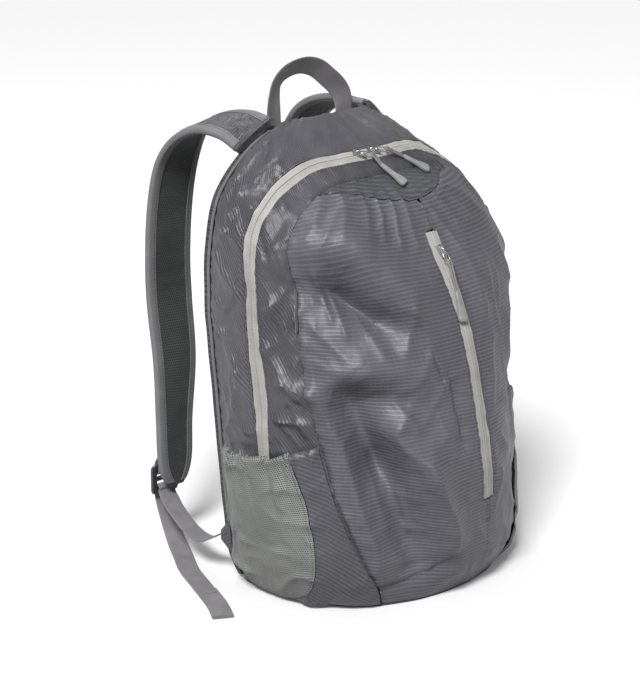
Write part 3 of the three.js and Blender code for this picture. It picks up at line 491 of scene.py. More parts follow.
def table(rows: Sequence[Sequence[float]]) -> Array:
    """Make an array of a table's rows."""
    return np.array(rows, float)


ZIP_LINE = Seam(
    table(
        (
            (0.0, 0.132, 0.0),
            (0.1, 0.13, 0.3),
            (0.2, 0.129, 0.5),
            (0.28, 0.121, 0.664),
            (0.32, 0.119, 0.745),
            (0.355, 0.133, 0.806),
            (0.385, 0.167, 0.849),
            (0.41, 0.212, 0.884),
            (0.435, 0.27, 0.911),
            (0.46, 0.335, 0.925),
            (0.5, 0.5, 0.929),
        )
    ),
    True,
)
FRONT_SEAM = Seam(
    table(
        (
            (0.0, 0.345, 0.0),
            (0.03, 0.322, 0.06),
            (0.06, 0.296, 0.113),
            (0.1, 0.263, 0.216),
            (0.14, 0.243, 0.31),
            (0.18, 0.229, 0.41),
            (0.23, 0.216, 0.53),
            (0.28, 0.212, 0.65),
            (0.33, 0.213, 0.755),
            (0.36, 0.229, 0.8),
            (0.39, 0.26, 0.84),
            (0.42, 0.31, 0.868),
            (0.45, 0.37, 0.886),
            (0.5, 0.5, 0.892),
        )
    ),
    True,
)
CAP_SEAM = Seam(
    table(
        (
            (0.0, 0.33, 0.8735),
            (0.2, 0.396, 0.863),
            (0.4, 0.46, 0.848),
            (0.5, 0.513, 0.8425),
            (0.6, 0.56, 0.848),
            (0.8, 0.618, 0.86),
            (1.0, 0.672, 0.8735),
        )
    )
)
CENTRE_SEAM = Seam(
    table(
        (
            (0.0, 0.54, 0.0),
            (0.1, 0.537, 0.1),
            (0.22, 0.531, 0.21),
            (0.35, 0.523, 0.31),
            (0.5, 0.515, 0.45),
            (0.65, 0.508, 0.58),
            (0.8, 0.504, 0.7),
            (0.9, 0.506, 0.775),
            (1.0, 0.513, 0.838),
        )
    )
)
RIM = Seam(
    table(
        (
            (0.0, 0.004, 0.0),
            (0.1, 0.004, 0.3),
            (0.2, 0.004, 0.5),
            (0.28, 0.004, 0.67),
            (0.34, 0.004, 0.8),
            (0.385, 0.004, 0.9),
            (0.41, 0.004, 0.955),
            (0.435, 0.02, 1.0),
            (0.46, 0.18, 1.0),
            (0.5, 0.5, 1.0),
        )
    ),
    True,
)


@dataclass(frozen=True)
class SeamPlan:
    """The steps that all panels share along their seams, and the places of their edges at each."""

    body: Body
    runs: tuple[tuple[float, int], ...] = ((0.1, 4), (0.106, 1), (0.34, 10), (0.4275, 6), (0.5, 8))
    centre_runs: tuple[tuple[float, int], ...] = (
        (0.214, 5),
        (0.221, 1),
        (0.905, 18),
        (0.912, 1),
        (0.985, 4),
    )
    zip_first: int = 5
    cap_first: int = 21
    pocket_zip: tuple[int, int] = (6, 24)
    gap: float = 0.0004
    zip_width: float = 0.013
    cap_tip: float = 0.0008
    cap_middle_clear: float = 0.007

    @staticmethod
    def places(runs: tuple[tuple[float, int], ...]) -> Array:
        """Give the shares of a seam at its steps."""
        found = [0.0]
        for to, steps in runs:
            found += list(np.linspace(found[-1], to, steps + 1)[1:])
        return np.array(found)

    @property
    def around_places(self) -> Array:
        """Give the shares at the steps of a mirrored seam."""
        half = self.places(self.runs)
        return np.concatenate([half, 1 - half[-2::-1]])

    @property
    def last(self) -> int:
        """Give the last step of a mirrored seam."""
        return len(self.around_places) - 1

    @property
    def middle(self) -> int:
        """Give the middle step."""
        return self.last // 2

    def gap_beside(self, k: Array, first: int, last: int) -> Array:
        """Give half of the gap between two panels at steps, wide where a zip lies between them."""
        beside_zip = (k >= first) & (k <= last)
        return np.where(beside_zip, self.zip_width / 2 + self.gap, self.gap / 2)

    def edge(self, seam: Seam, k: Array, out: Array) -> Array:
        """Give rows of step, around and height beside a mirrored seam."""
        found = seam.beside(self.body, self.around_places[k], np.broadcast_to(out, np.shape(k)))
        return np.stack([k, *found], -1)

    def rim_edge(self, k: Array) -> Array:
        """Give rows of step, around and height on the rim."""
        return np.stack([k, *RIM.at(self.around_places[k])], -1)

    def centre_edge(self, k: Array, out: Array | float) -> Array:
        """Give rows of step, around and height beside the centre seam."""
        share = self.places(self.centre_runs)[k]
        found = CENTRE_SEAM.beside(self.body, share, np.broadcast_to(out, k.shape))
        return np.stack([k, *found], -1)

    def cap_edge(self, k: Array, share: Array, out: float) -> Array:
        """Give rows of step, around and height beside the cap's own seam."""
        return np.stack([k, *CAP_SEAM.beside(self.body, share, np.full(k.shape, out))], -1)

    def cap_low(self) -> Array:
        """Give the cap's lower edge, with its two tips on the front seam."""
        k = np.arange(self.cap_first, self.last - self.cap_first + 1)
        share = (k - self.cap_first) / (self.last - 2 * self.cap_first)
        rows = self.cap_edge(k, share, self.gap / 2)
        ends = k[[0, -1]]
        rows[[0, -1]] = self.edge(FRONT_SEAM, ends, -self.gap / 2 - self.cap_tip)
        return rows

    def front_edge(self, right: bool) -> Array:
        """Give a front panel's outer edge: up the front seam, then along the cap.

        Args:
            right: True for the right panel.

        Returns:
            Rows of step, around and height.
        """
        k = np.arange(0, self.cap_first + 1)
        out = np.where(k == self.cap_first, -1.5 * self.gap - self.cap_tip, -self.gap / 2)
        low = self.edge(FRONT_SEAM, self.last - k if right else k, out)
        low[:, 0] = k
        k = np.arange(self.cap_first + 1, self.middle + 1)
        share = (k - self.cap_first) / (self.last - 2 * self.cap_first)
        share = share - np.where(k == self.middle, self.cap_middle_clear, 0)
        high = self.cap_edge(k, 1 - share if right else share, -self.gap / 2)
        return np.concatenate([low, high])


# Meshes


def deselect() -> None:
    bpy.ops.object.select_all(action="DESELECT")


def activate(piece: Piece) -> None:
    """Make a piece the only selected one and the active one."""
    deselect()
    piece.select_set(True)
    bpy.context.view_layer.objects.active = piece


def make_object(name: str, verts: Array, faces: list[list[int]], uv: Optional[Array] = None) -> Piece:
    """Make a mesh object whose faces point outwards.

    Args:
        name: The piece's name.
        verts: Its points.
        faces: Its faces as lists of points.
        uv: A flat place for each point, if it has one.

    Returns:
        The object, linked to the scene.
    """
    mesh = bpy.data.meshes.new(name)
    mesh.from_pydata([tuple(v) for v in verts], [], faces)
    mesh.update()
    centre = verts.mean(0)
    corners = np.array([[f[0], f[i], f[i + 1]] for f in faces for i in range(1, len(f) - 1)])
    a, b, c = (verts[corners[:, i]] - centre for i in range(3))
    if float((a * np.cross(b, c)).sum()) < 0:
        mesh.flip_normals()
    if uv is not None:
        layer = mesh.uv_layers.new(name="flat")
        index = np.empty(len(mesh.loops), np.int32)
        mesh.loops.foreach_get("vertex_index", index)
        layer.data.foreach_set("uv", uv[index].astype(np.float32).ravel())
    piece = bpy.data.objects.new(name, mesh)
    bpy.context.scene.collection.objects.link(piece)
    return piece


def shade(piece: Piece, degrees: float = 40.0) -> Piece:
    """Shade a piece smooth, with edges sharper than an angle left crisp."""
    activate(piece)
    bpy.ops.object.shade_smooth_by_angle(angle=math.radians(degrees))
    return piece


def slab(name: str, outer: Array, inner: Array, uv: Array) -> Piece:
    """Make a closed sheet of cloth between two grids of points.

    Args:
        name: The piece's name.
        outer: The outer grid, by column and row.
        inner: The inner grid.
        uv: The flat place of each grid point.

    Returns:
        The piece.
    """
    m, n = outer.shape[:2]
    size = m * n
    index = np.arange(size).reshape(m, n)
    a, b, c, d = index[:-1, :-1], index[1:, :-1], index[1:, 1:], index[:-1, 1:]
    top = np.stack([a, b, c, d], -1).reshape(-1, 4)
    under = np.stack([a, d, c, b], -1).reshape(-1, 4) + size
    rim = np.concatenate([index[:, 0], index[-1, 1:], index[-2::-1, -1], index[0, -2:0:-1]])
    after = np.roll(rim, -1)
    wall = np.stack([after, rim, rim + size, after + size], -1)
    faces = np.concatenate([top, under, wall]).tolist()
    verts = np.concatenate([outer.reshape(-1, 3), inner.reshape(-1, 3)])
    flat = np.concatenate([uv.reshape(-1, 2)] * 2)
    return shade(make_object(name, verts, faces, flat))


def grid_normals(points: Array) -> Array:
    """Give the direction square to a grid of points at each of them."""
    return unit(np.cross(np.gradient(points, axis=0), np.gradient(points, axis=1)))


def outer_normals(points: Array, outward: Array) -> Array:
    """Give the normals of a grid of points, on the side that the outward directions point to."""
    normals = grid_normals(points)
    return -normals if (normals * outward).sum(-1).mean() < 0 else normals


def distances(points: Array) -> Array:
    """Give the distance along a line up to each of its points."""
    return np.concatenate([[0], np.cumsum(np.linalg.norm(np.diff(points, axis=0), axis=1))])


def direction(points: Array) -> Array:
    """Give the direction of a line at each of its points."""
    return unit(np.gradient(points, axis=0))


def resample(points: Array, step: float) -> Array:
    """Walk along a line in equal steps.

    Args:
        points: The line's points.
        step: The step in metres.

    Returns:
        The places of the steps, counted in points of the line.
    """
    lengths = distances(points)
    return np.interp(np.arange(step / 2, lengths[-1], step), lengths, np.arange(len(points)))


def pick(points: Array, at: Array) -> Array:
    """Read a list of vectors between its entries."""
    return np.stack([np.interp(at, np.arange(len(points)), points[:, i]) for i in range(3)], -1)


def tube_faces(count: int, sides: int) -> list[list[int]]:
    """Give the faces of a closed solid through rings of points that are numbered ring by ring.

    Args:
        count: The number of rings.
        sides: The points on each ring.

    Returns:
        The faces between the rings, then both ends.
    """
    index = np.arange(count * sides).reshape(count, sides)
    a, b = index[:-1], np.roll(index[:-1], -1, axis=1)
    c, d = np.roll(index[1:], -1, axis=1), index[1:]
    faces = np.stack([a, b, c, d], -1).reshape(-1, 4).tolist()
    return faces + [index[0, ::-1].tolist(), index[-1].tolist()]


def round_rings(centre: Array, side: Array, up: Array, radius: float, count: int) -> Array:
    """Give rings of points round a line.

    Args:
        centre: The line's points.
        side: The way across it at each point.
        up: The way square to both, which may be shorter for a flatter ring.
        radius: The rings' radius.
        count: The points on each ring.

    Returns:
        The points by ring and place on the ring.
    """
    turn = np.linspace(0, 2 * np.pi, count, endpoint=False)[:, None]
    return centre[:, None] + radius * (side[:, None] * np.cos(turn) + up[:, None] * np.sin(turn))


def sweep(name: str, rings: Array, along: Array) -> Piece:
    """Make a closed solid through rings of points, with UVs in metres along and round it.

    Args:
        name: The piece's name.
        rings: The points by ring and place on the ring.
        along: The distance of each ring along the piece.

    Returns:
        The piece.
    """
    girth = np.linalg.norm(np.roll(rings, -1, axis=1) - rings, axis=-1).mean(0)
    turn = np.concatenate([[0], np.cumsum(girth)])[:-1]
    uv = np.stack(np.broadcast_arrays(turn[None, :], along[:, None]), -1).reshape(-1, 2)
    return shade(make_object(name, rings.reshape(-1, 3), tube_faces(*rings.shape[:2]), uv), 50)


def eased(rows: Array, count: int) -> Array:
    """Read a table's columns in equal steps on a smooth curve through its rows."""
    keyed = np.column_stack([np.arange(len(rows)), rows])
    at = np.linspace(0, len(rows) - 1, count)
    return np.stack([smooth(keyed, at, i + 1) for i in range(rows.shape[1])], -1)


def finish(piece: Piece, material: bpy.types.Material, nodes: Sequence[str] = ()) -> Piece:
    """Give a piece its material and tie it to the frame.

    Args:
        piece: The piece.
        material: Its finish.
        nodes: The CAD nodes that it stands for.

    Returns:
        The piece.
    """
    piece.data.materials.clear()
    piece.data.materials.append(material)
    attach(piece, "root")
    if nodes:
        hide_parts(*nodes)
    stands_for = ", ".join(nodes) or "nothing"
    log.info("%s: %d faces, stands for %s", piece.name, len(piece.data.polygons), stands_for)
    return piece


@dataclass(frozen=True)
class StitchRow:
    """A row of raised stitches along a line."""

    pitch: float = 0.0034
    length: float = 0.0024
    width: float = 0.0005
    height: float = 0.0003

    def lay(self, points: Array, normals: Array) -> tuple[Array, Array]:
        """Lay the row along a line.

        Args:
            points: The line.
            normals: The way up from the cloth at each point.

        Returns:
            The corners of all stitches, eight for each, and their faces.
        """
        at = resample(points, self.pitch)
        centre, up = pick(points, at), unit(pick(normals, at))
        run = unit(pick(direction(points), at))
        side = unit(np.cross(up, run))
        corners = []
        for lift, shrink in ((-0.0002, 1.0), (self.height, 0.62)):
            for x, y in ((-1, -1), (1, -1), (1, 1), (-1, 1)):
                corners.append(
                    centre
                    + run * (x * shrink * self.length / 2)
                    + side * (y * shrink * self.width / 2)
                    + up * lift
                )
        verts = np.stack(corners, 1).reshape(-1, 3)
        box = np.array([(0, 3, 2, 1), (4, 5, 6, 7), (0, 1, 5, 4), (1, 2, 6, 5), (2, 3, 7, 6), (3, 0, 4, 7)])
        faces = (np.arange(len(centre))[:, None, None] * 8 + box).reshape(-1, 4)
        return verts, faces


def stitching(name: str, lines: Sequence[tuple[Array, Array]], row: StitchRow) -> Piece:
    """Make one piece of several rows of stitches.

    Args:
        name: The piece's name.
        lines: The points and normals of each row.
        row: The stitch.

    Returns:
        The piece.
    """
    verts: list[Array] = []
    faces: list[Array] = []
    total = 0
    for points, normals in lines:
        v, f = row.lay(points, normals)
        verts.append(v)
        faces.append(f + total)
        total += len(v)
    return make_object(name, np.concatenate(verts), np.concatenate(faces).tolist())


# Finishes


def tone(red: int, green: int, blue: int) -> tuple[float, float, float, float]:
    """Turn a colour of 0 to 255 into linear light."""
    values = [v / 255 for v in (red, green, blue)]
    return (*(v / 12.92 if v <= 0.04045 else ((v + 0.055) / 1.055) ** 2.4 for v in values), 1.0)


class Wiring:
    """Adds and joins nodes in one tree."""

    def __init__(self, tree: bpy.types.NodeTree) -> None:
        """Keep the tree."""
        self.tree = tree

    def add(self, kind: str, inputs: Optional[dict] = None, **settings: object) -> bpy.types.Node:
        """Add a node.

        Args:
            kind: Its type.
            inputs: Values or sockets for its inputs, by name or number.
            settings: Its own settings.

        Returns:
            The node.
        """
        made = self.tree.nodes.new(kind)
        for name, value in settings.items():
            setattr(made, name, value)
        for name, value in (inputs or {}).items():
            if isinstance(value, bpy.types.NodeSocket):
                self.tree.links.new(value, made.inputs[name])
            else:
                made.inputs[name].default_value = value
        return made

    def join(self, one: Socket, other: Socket) -> None:
        """Join an output to an input."""
        self.tree.links.new(one, other)

    def places(self) -> Socket:
        """Give the object's own places in metres."""
        return self.add("ShaderNodeTexCoord").outputs["Object"]

    def math(self, operation: str, *values: object) -> Socket:
        """Add a Math node and return its value."""
        return self.add("ShaderNodeMath", dict(enumerate(values)), operation=operation).outputs[0]

    def times(self, one: object, other: object) -> Socket:
        """Multiply two values."""
        return self.math("MULTIPLY", one, other)

    def plus(self, one: object, other: object) -> Socket:
        """Add two values."""
        return self.math("ADD", one, other)

    def remap(
        self, value: Socket, low: float, high: float, to_low: float = 0.0, to_high: float = 1.0
    ) -> Socket:
        """Turn a range of values smoothly into another."""
        inputs = {"Value": value, "From Min": low, "From Max": high, "To Min": to_low, "To Max": to_high}
        return self.add("ShaderNodeMapRange", inputs, interpolation_type="SMOOTHSTEP").outputs[0]

    def mix(self, share: object, one: object, other: object) -> Socket:
        """Mix two colours."""
        node = self.add("ShaderNodeMix", {0: share, 6: one, 7: other}, data_type="RGBA")
        return node.outputs[2]

    def noise(self, vector: Socket, scale: float, detail: float = 3.0, rough: float = 0.5) -> Socket:
        """Add a noise and return its value."""
        inputs = {"Vector": vector, "Scale": scale, "Detail": detail, "Roughness": rough}
        return self.add("ShaderNodeTexNoise", inputs).outputs[0]


def group(
    name: str, inputs: dict[str, float], outputs: Sequence[str]
) -> tuple[Wiring, dict[str, Socket], bpy.types.Node]:
    """Start a node group.

    Args:
        name: Its name.
        inputs: Its number inputs with their defaults, besides Vector.
        outputs: Its number outputs.

    Returns:
        Its wiring, its inputs' sockets by name, and its output node.
    """
    tree = bpy.data.node_groups.new(name, "ShaderNodeTree")
    tree.interface.new_socket("Vector", in_out="INPUT", socket_type="NodeSocketVector")
    for key, value in inputs.items():
        tree.interface.new_socket(key, in_out="INPUT", socket_type="NodeSocketFloat").default_value = value
    for key in outputs:
        tree.interface.new_socket(key, in_out="OUTPUT", socket_type="NodeSocketFloat")
    wires = Wiring(tree)
    start, end = wires.add("NodeGroupInput"), wires.add("NodeGroupOutput")
    return wires, {s.name: s for s in start.outputs if s.name}, end


class Patterns:
    """The weaves and wear that several finishes share, each a node group made once."""

    def __init__(self) -> None:
        """Make all groups."""
        self.ripstop = self.make_ripstop()
        self.crumple = self.make_crumple()
        self.knit = self.make_knit()
        self.ribs = self.make_ribs()

    @staticmethod
    def make_ripstop() -> bpy.types.NodeTree:
        """Make the plain weave with its heavier threads, a wide step one way and a fine one across."""
        wires, given, end = group("ripstop_weave", {"Row": 0.0034, "Column": 0.0052}, ("Lines", "Height"))
        parts = wires.add("ShaderNodeSeparateXYZ", {0: given["Vector"]}).outputs
        across = wires.math("PINGPONG", wires.math("DIVIDE", parts[0], given["Column"]), 0.5)
        down = wires.math("PINGPONG", wires.math("DIVIDE", parts[1], given["Row"]), 0.5)
        column = wires.remap(across, 0.03, 0.11, 1.0, 0.0)
        row = wires.remap(down, 0.1, 0.3, 1.0, 0.0)
        lines = wires.math("MAXIMUM", wires.times(column, 0.35), row)
        one = wires.math("SINE", wires.times(parts[0], 7400.0))
        two = wires.math("SINE", wires.times(parts[1], 7400.0))
        weave = wires.times(wires.times(one, two), 0.12)
        wires.join(lines, end.inputs["Lines"])
        wires.join(wires.plus(lines, weave), end.inputs["Height"])
        return wires.tree

    @staticmethod
    def make_crumple() -> bpy.types.NodeTree:
        """Make the small creases of thin cloth, and its slow change of tone."""
        wires, given, end = group("cloth_crumple", {"Size": 0.02}, ("Height", "Tone"))
        scaled = wires.add("ShaderNodeVectorMath", {0: given["Vector"]}, operation="SCALE")
        wires.join(wires.math("DIVIDE", 1.0, given["Size"]), scaled.inputs["Scale"])
        vector = scaled.outputs[0]
        warp = wires.add("ShaderNodeTexNoise", {"Vector": vector, "Scale": 0.6, "Detail": 1.0}).outputs[1]
        bent = wires.add("ShaderNodeVectorMath", {0: vector, 1: warp}, operation="ADD").outputs[0]
        first = wires.noise(bent, 0.7, 2.0, 0.45)
        ridge = wires.math("ABSOLUTE", wires.math("MULTIPLY_ADD", first, 2.0, -1.0))
        crease = wires.math("SUBTRACT", 1.0, wires.remap(ridge, 0.0, 0.35))
        second = wires.noise(bent, 2.3, 3.0, 0.5)
        height = wires.plus(wires.times(crease, 0.6), wires.times(second, 0.8))
        wires.join(height, end.inputs["Height"])
        wires.join(wires.noise(vector, 0.35, 4.0, 0.6), end.inputs["Tone"])
        return wires.tree

    @staticmethod
    def make_knit() -> bpy.types.NodeTree:
        """Make an open knit of staggered holes."""
        wires, given, end = group("open_knit", {"Pitch": 0.002, "Tall": 1.0}, ("Hole", "Height"))
        parts = wires.add("ShaderNodeSeparateXYZ", {0: given["Vector"]}).outputs
        x = wires.math("DIVIDE", parts[0], given["Pitch"])
        y = wires.math("DIVIDE", wires.math("DIVIDE", parts[1], given["Pitch"]), given["Tall"])
        shift = wires.times(wires.math("FLOORED_MODULO", wires.math("FLOOR", y), 2.0), 0.5)
        dx = wires.math("SUBTRACT", wires.math("FRACT", wires.plus(x, shift)), 0.5)
        dy = wires.math("SUBTRACT", wires.math("FRACT", y), 0.5)
        far = wires.math("SQRT", wires.plus(wires.times(dx, dx), wires.times(dy, dy)))
        hole = wires.remap(far, 0.2, 0.4, 1.0, 0.0)
        wires.join(hole, end.inputs["Hole"])
        wires.join(wires.math("SUBTRACT", 1.0, hole), end.inputs["Height"])
        return wires.tree

    @staticmethod
    def make_ribs() -> bpy.types.NodeTree:
        """Make the slanted ribs of woven tape."""
        wires, given, end = group("tape_ribs", {"Pitch": 0.0016, "Band": 0.005}, ("Rib", "Height"))
        parts = wires.add("ShaderNodeSeparateXYZ", {0: given["Vector"]}).outputs
        zigzag = wires.math("PINGPONG", parts[0], given["Band"])
        turn = wires.math("DIVIDE", wires.plus(parts[1], wires.times(zigzag, 0.7)), given["Pitch"])
        rib = wires.math("MULTIPLY_ADD", wires.math("SINE", wires.times(turn, math.tau)), 0.5, 0.5)
        warp = wires.math("SINE", wires.times(parts[0], 9000.0))
        height = wires.plus(rib, wires.times(warp, 0.3))
        wires.join(rib, end.inputs["Rib"])
        wires.join(height, end.inputs["Height"])
        return wires.tree


def use(wires: Wiring, tree: bpy.types.NodeTree, vector: Socket, **values: float) -> bpy.types.Node:
    """Place a node group in a material with its own values."""
    node = wires.add("ShaderNodeGroup", node_tree=tree)
    wires.join(vector, node.inputs["Vector"])
    for name, value in values.items():
        node.inputs[name].default_value = value
    return node


@dataclass(frozen=True)
class Finish:
    """What every finish has: its name and the look of its surface."""

    name: str
    colour: tuple[int, int, int]
    shadow: tuple[int, int, int]
    roughness: float = 0.5
    sheen: float = 0.0
    metallic: float = 0.0

    def start(self) -> tuple[bpy.types.Material, Wiring, bpy.types.Node]:
        """Make the material with its Principled shader.

        Returns:
            The material, its wiring and the shader.
        """
        material = bpy.data.materials.new(self.name)
        material.use_nodes = True
        material.node_tree.nodes.clear()
        wires = Wiring(material.node_tree)
        inputs = {"Roughness": self.roughness, "Metallic": self.metallic}
        if self.sheen:
            inputs |= {"Sheen Weight": self.sheen, "Sheen Roughness": 0.4}
        shader = wires.add("ShaderNodeBsdfPrincipled", inputs)
        wires.add("ShaderNodeOutputMaterial", {0: shader.outputs[0]})
        material.diffuse_color = tone(*self.colour)
        return material, wires, shader

    def base(self, wires: Wiring, share: Socket) -> Socket:
        """Mix the finish's shadow and its own colour."""
        return wires.mix(share, tone(*self.shadow), tone(*self.colour))

    def lighter(self, by: int) -> tuple[float, float, float, float]:
        """Give the colour lightened by steps of 255."""
        return tone(*(min(v + by, 255) for v in self.colour))

    def rough(
        self, wires: Wiring, value: Socket, low: tuple[float, float], high: tuple[float, float]
    ) -> Socket:
        """Turn a value into roughness.

        Args:
            wires: The wiring.
            value: The value.
            low: A value, and how much its roughness differs from the finish's.
            high: A higher value, and the same for it.

        Returns:
            The roughness.
        """
        to_low, to_high = self.roughness + low[1], self.roughness + high[1]
        return wires.remap(value, low[0], high[0], to_low, to_high)

    def flat_places(self, wires: Wiring, turn: float = 0.0) -> Socket:
        """Give the piece's own flat places, turned by degrees."""
        uv = wires.add("ShaderNodeUVMap", uv_map="flat").outputs[0]
        inputs = {"Vector": uv, "Rotation": (0.0, 0.0, math.radians(turn))}
        return wires.add("ShaderNodeMapping", inputs).outputs[0]

    def bump(
        self, wires: Wiring, shader: bpy.types.Node, steps: Sequence[tuple[Socket, float, float]]
    ) -> None:
        """Chain bumps into the shader's normal.

        Args:
            wires: The wiring.
            shader: The shader.
            steps: Height, depth in metres and strength of each bump, the broadest first.
        """
        normal: Optional[Socket] = None
        for height, depth, strength in steps:
            inputs: dict = {"Height": height, "Distance": depth, "Strength": strength}
            if normal is not None:
                inputs["Normal"] = normal
            normal = wires.add("ShaderNodeBump", inputs).outputs[0]
        wires.join(normal, shader.inputs["Normal"])


@dataclass(frozen=True)
class Nylon(Finish):
    """Coated ripstop nylon: fine lines, a light sheen and small creases."""

    turn: float = 0.0
    row: float = 0.0034
    crumple: float = 0.032
    crumple_depth: float = 0.0015
    line_lift: float = 0.48

    def build(self, patterns: Patterns) -> bpy.types.Material:
        """Make the material."""
        material, wires, shader = self.start()
        weave = use(wires, patterns.ripstop, self.flat_places(wires, self.turn), Row=self.row)
        where = wires.places()
        crease = use(wires, patterns.crumple, where, Size=self.crumple)
        base = self.base(wires, wires.remap(crease.outputs["Tone"], 0.3, 0.7))
        share = wires.times(weave.outputs["Lines"], self.line_lift)
        wires.join(wires.mix(share, base, self.lighter(26)), shader.inputs["Base Color"])
        rough = self.rough(wires, crease.outputs["Tone"], (0.25, -0.05), (0.75, 0.07))
        rough = wires.math("SUBTRACT", rough, wires.times(weave.outputs["Lines"], 0.06))
        wires.join(rough, shader.inputs["Roughness"])
        self.bump(
            wires,
            shader,
            ((crease.outputs["Height"], self.crumple_depth, 0.75), (weave.outputs["Height"], 0.00022, 0.6)),
        )
        return material


@dataclass(frozen=True)
class Knit(Finish):
    """A knitted mesh whose holes are painted dark: partly the darker cloth behind them, partly painted
    shade inside them.
    """

    pitch: float = 0.0018
    tall: float = 1.0
    depth: float = 0.0005
    crumple: float = 0.03
    crumple_depth: float = 0.0016

    def build(self, patterns: Patterns) -> bpy.types.Material:
        """Make the material."""
        material, wires, shader = self.start()
        knit = use(wires, patterns.knit, self.flat_places(wires), Pitch=self.pitch, Tall=self.tall)
        where = wires.places()
        crease = use(wires, patterns.crumple, where, Size=self.crumple)
        # the holes are not cut; their colour is painted shade over the darker cloth behind them
        dark = tuple(int(v * 0.45) for v in self.shadow)
        base = self.base(wires, wires.remap(crease.outputs["Tone"], 0.3, 0.7))
        wires.join(wires.mix(knit.outputs["Hole"], base, tone(*dark)), shader.inputs["Base Color"])
        rough = self.rough(wires, crease.outputs["Tone"], (0.2, -0.06), (0.8, 0.06))
        wires.join(rough, shader.inputs["Roughness"])
        self.bump(
            wires,
            shader,
            (
                (crease.outputs["Height"], self.crumple_depth, 0.5),
                (knit.outputs["Height"], self.depth, 0.7),
            ),
        )
        return material


@dataclass(frozen=True)
class Tape(Finish):
    """Woven tape or webbing with slanted ribs."""

    pitch: float = 0.0016
    band: float = 0.005
    depth: float = 0.00025

    def build(self, patterns: Patterns) -> bpy.types.Material:
        """Make the material."""
        material, wires, shader = self.start()
        ribs = use(wires, patterns.ribs, self.flat_places(wires), Pitch=self.pitch, Band=self.band)
        where = wires.places()
        wear = wires.remap(wires.noise(where, 60.0, 4.0, 0.6), 0.35, 0.65)
        share = wires.times(ribs.outputs["Rib"], 0.8)
        base = wires.mix(share, self.base(wires, wear), self.lighter(28))
        wires.join(base, shader.inputs["Base Color"])
        wires.join(self.rough(wires, wear, (0.0, -0.05), (1.0, 0.05)), shader.inputs["Roughness"])
        self.bump(wires, shader, ((ribs.outputs["Height"], self.depth, 0.6),))
        return material


@dataclass(frozen=True)
class Moulded(Finish):
    """Plastic, rubber or metal with a fine grain and light wear."""

    grain: float = 900.0
    depth: float = 0.00006

    def build(self, patterns: Patterns) -> bpy.types.Material:
        """Make the material."""
        material, wires, shader = self.start()
        where = wires.places()
        grain = wires.noise(where, self.grain, 3.0, 0.6)
        wear = wires.remap(wires.noise(where, 180.0, 4.0, 0.65), 0.4, 0.65)
        wires.join(self.base(wires, wear), shader.inputs["Base Color"])
        wires.join(self.rough(wires, wear, (0.0, 0.08), (1.0, -0.04)), shader.inputs["Roughness"])
        self.bump(wires, shader, ((grain, self.depth, 0.5),))
        return material


SIDE_WEAVE = {"turn": 52.0, "row": 0.003, "crumple": 0.03}
STRAP_WEAVE = {"turn": 12.0, "crumple": 0.014}
FINISHES: tuple[Finish, ...] = (
    Nylon("front_nylon", (86, 85, 93), (68, 67, 74), 0.48, 0.08),
    Nylon("side_nylon", (84, 83, 89), (60, 59, 65), 0.4, 0.08, line_lift=0.5, **SIDE_WEAVE),
    # the front gusset's finish is the side nylon darkened: painted shade for the hollow in front of the
    # main zip, on the same cloth
    Nylon("gusset_nylon", (74, 73, 79), (54, 53, 58), 0.42, 0.08, line_lift=0.4, **SIDE_WEAVE),
    Nylon("cap_nylon", (72, 73, 78), (62, 63, 67), 0.45, 0.05, turn=8.0),
    Nylon("pocket_nylon", (70, 70, 76), (58, 58, 64), 0.46, 0.05, turn=30.0),
    Nylon("strap_nylon", (68, 68, 74), (54, 54, 60), 0.46, 0.05, crumple_depth=0.0018, **STRAP_WEAVE),
    Nylon("base_nylon", (68, 68, 74), (58, 58, 63), 0.5, 0.05),
    Knit("pocket_knit", (140, 142, 139), (116, 118, 116), 0.62, 0.15, pitch=0.0015, tall=1.3),
    Knit("air_knit", (76, 78, 78), (54, 56, 56), 0.85, 0.2, pitch=0.0026, depth=0.0007),
    Tape("zip_weave", (156, 155, 150), (142, 141, 136), 0.66, 0.1, pitch=0.0011, band=0.0016, depth=0.0001),
    Tape("strap_weave", (116, 114, 116), (98, 96, 98), 0.6, 0.1),
    Tape("binding_weave", (104, 104, 106), (90, 90, 92), 0.58, 0.1, pitch=0.0012, band=0.003),
    Moulded("dark_thread", (52, 52, 55), (46, 46, 49), 0.6, 0.3),
    Moulded("pale_thread", (150, 151, 147), (136, 137, 133), 0.6, 0.3),
    Moulded("lock_plastic", (58, 59, 62), (50, 51, 54), 0.38),
    Moulded("slider_metal", (205, 205, 206), (182, 182, 184), 0.26, 0.0, 1.0, grain=400.0, depth=0.00003),
    Moulded("pull_rubber", (146, 148, 146), (132, 134, 132), 0.58),
)


class Workshop:
    """Keeps the finishes by name."""

    def __init__(self) -> None:
        """Make every finish's material."""
        patterns = Patterns()
        self.materials = {item.name: item.build(patterns) for item in FINISHES}

    def __getitem__(self, name: str) -> bpy.types.Material:
        """Give a finish's material."""
        return self.materials[name]


# Sub-assemblies


def arc_rows(rows: Array, body: Body) -> tuple[Array, Array]:
    """Key an edge's rows by the distance along it.

    Args:
        rows: Step, around and height.
        body: The body that it lies on.

    Returns:
        The distance at each step, and rows of distance, around and height.
    """
    along = distances(body.bare(rows[:, 1], rows[:, 2]))
    return along, np.column_stack([along, rows[:, 1], rows[:, 2]])


def between(ends: tuple[Array, Array], at: tuple[Array, Array], v: Array) -> tuple[Array, Array]:
    """Spread places between two edges.

    Args:
        ends: Both edges' rows of distance, around and height.
        at: The distances to read on each edge.
        v: Shares of the way from the first edge to the second.

    Returns:
        around and height by column and row.
    """
    around, height = (
        smooth(ends[0], at[0], column)[:, None] * (1 - v) + smooth(ends[1], at[1], column)[:, None] * v
        for column in (1, 2)
    )
    return around, height


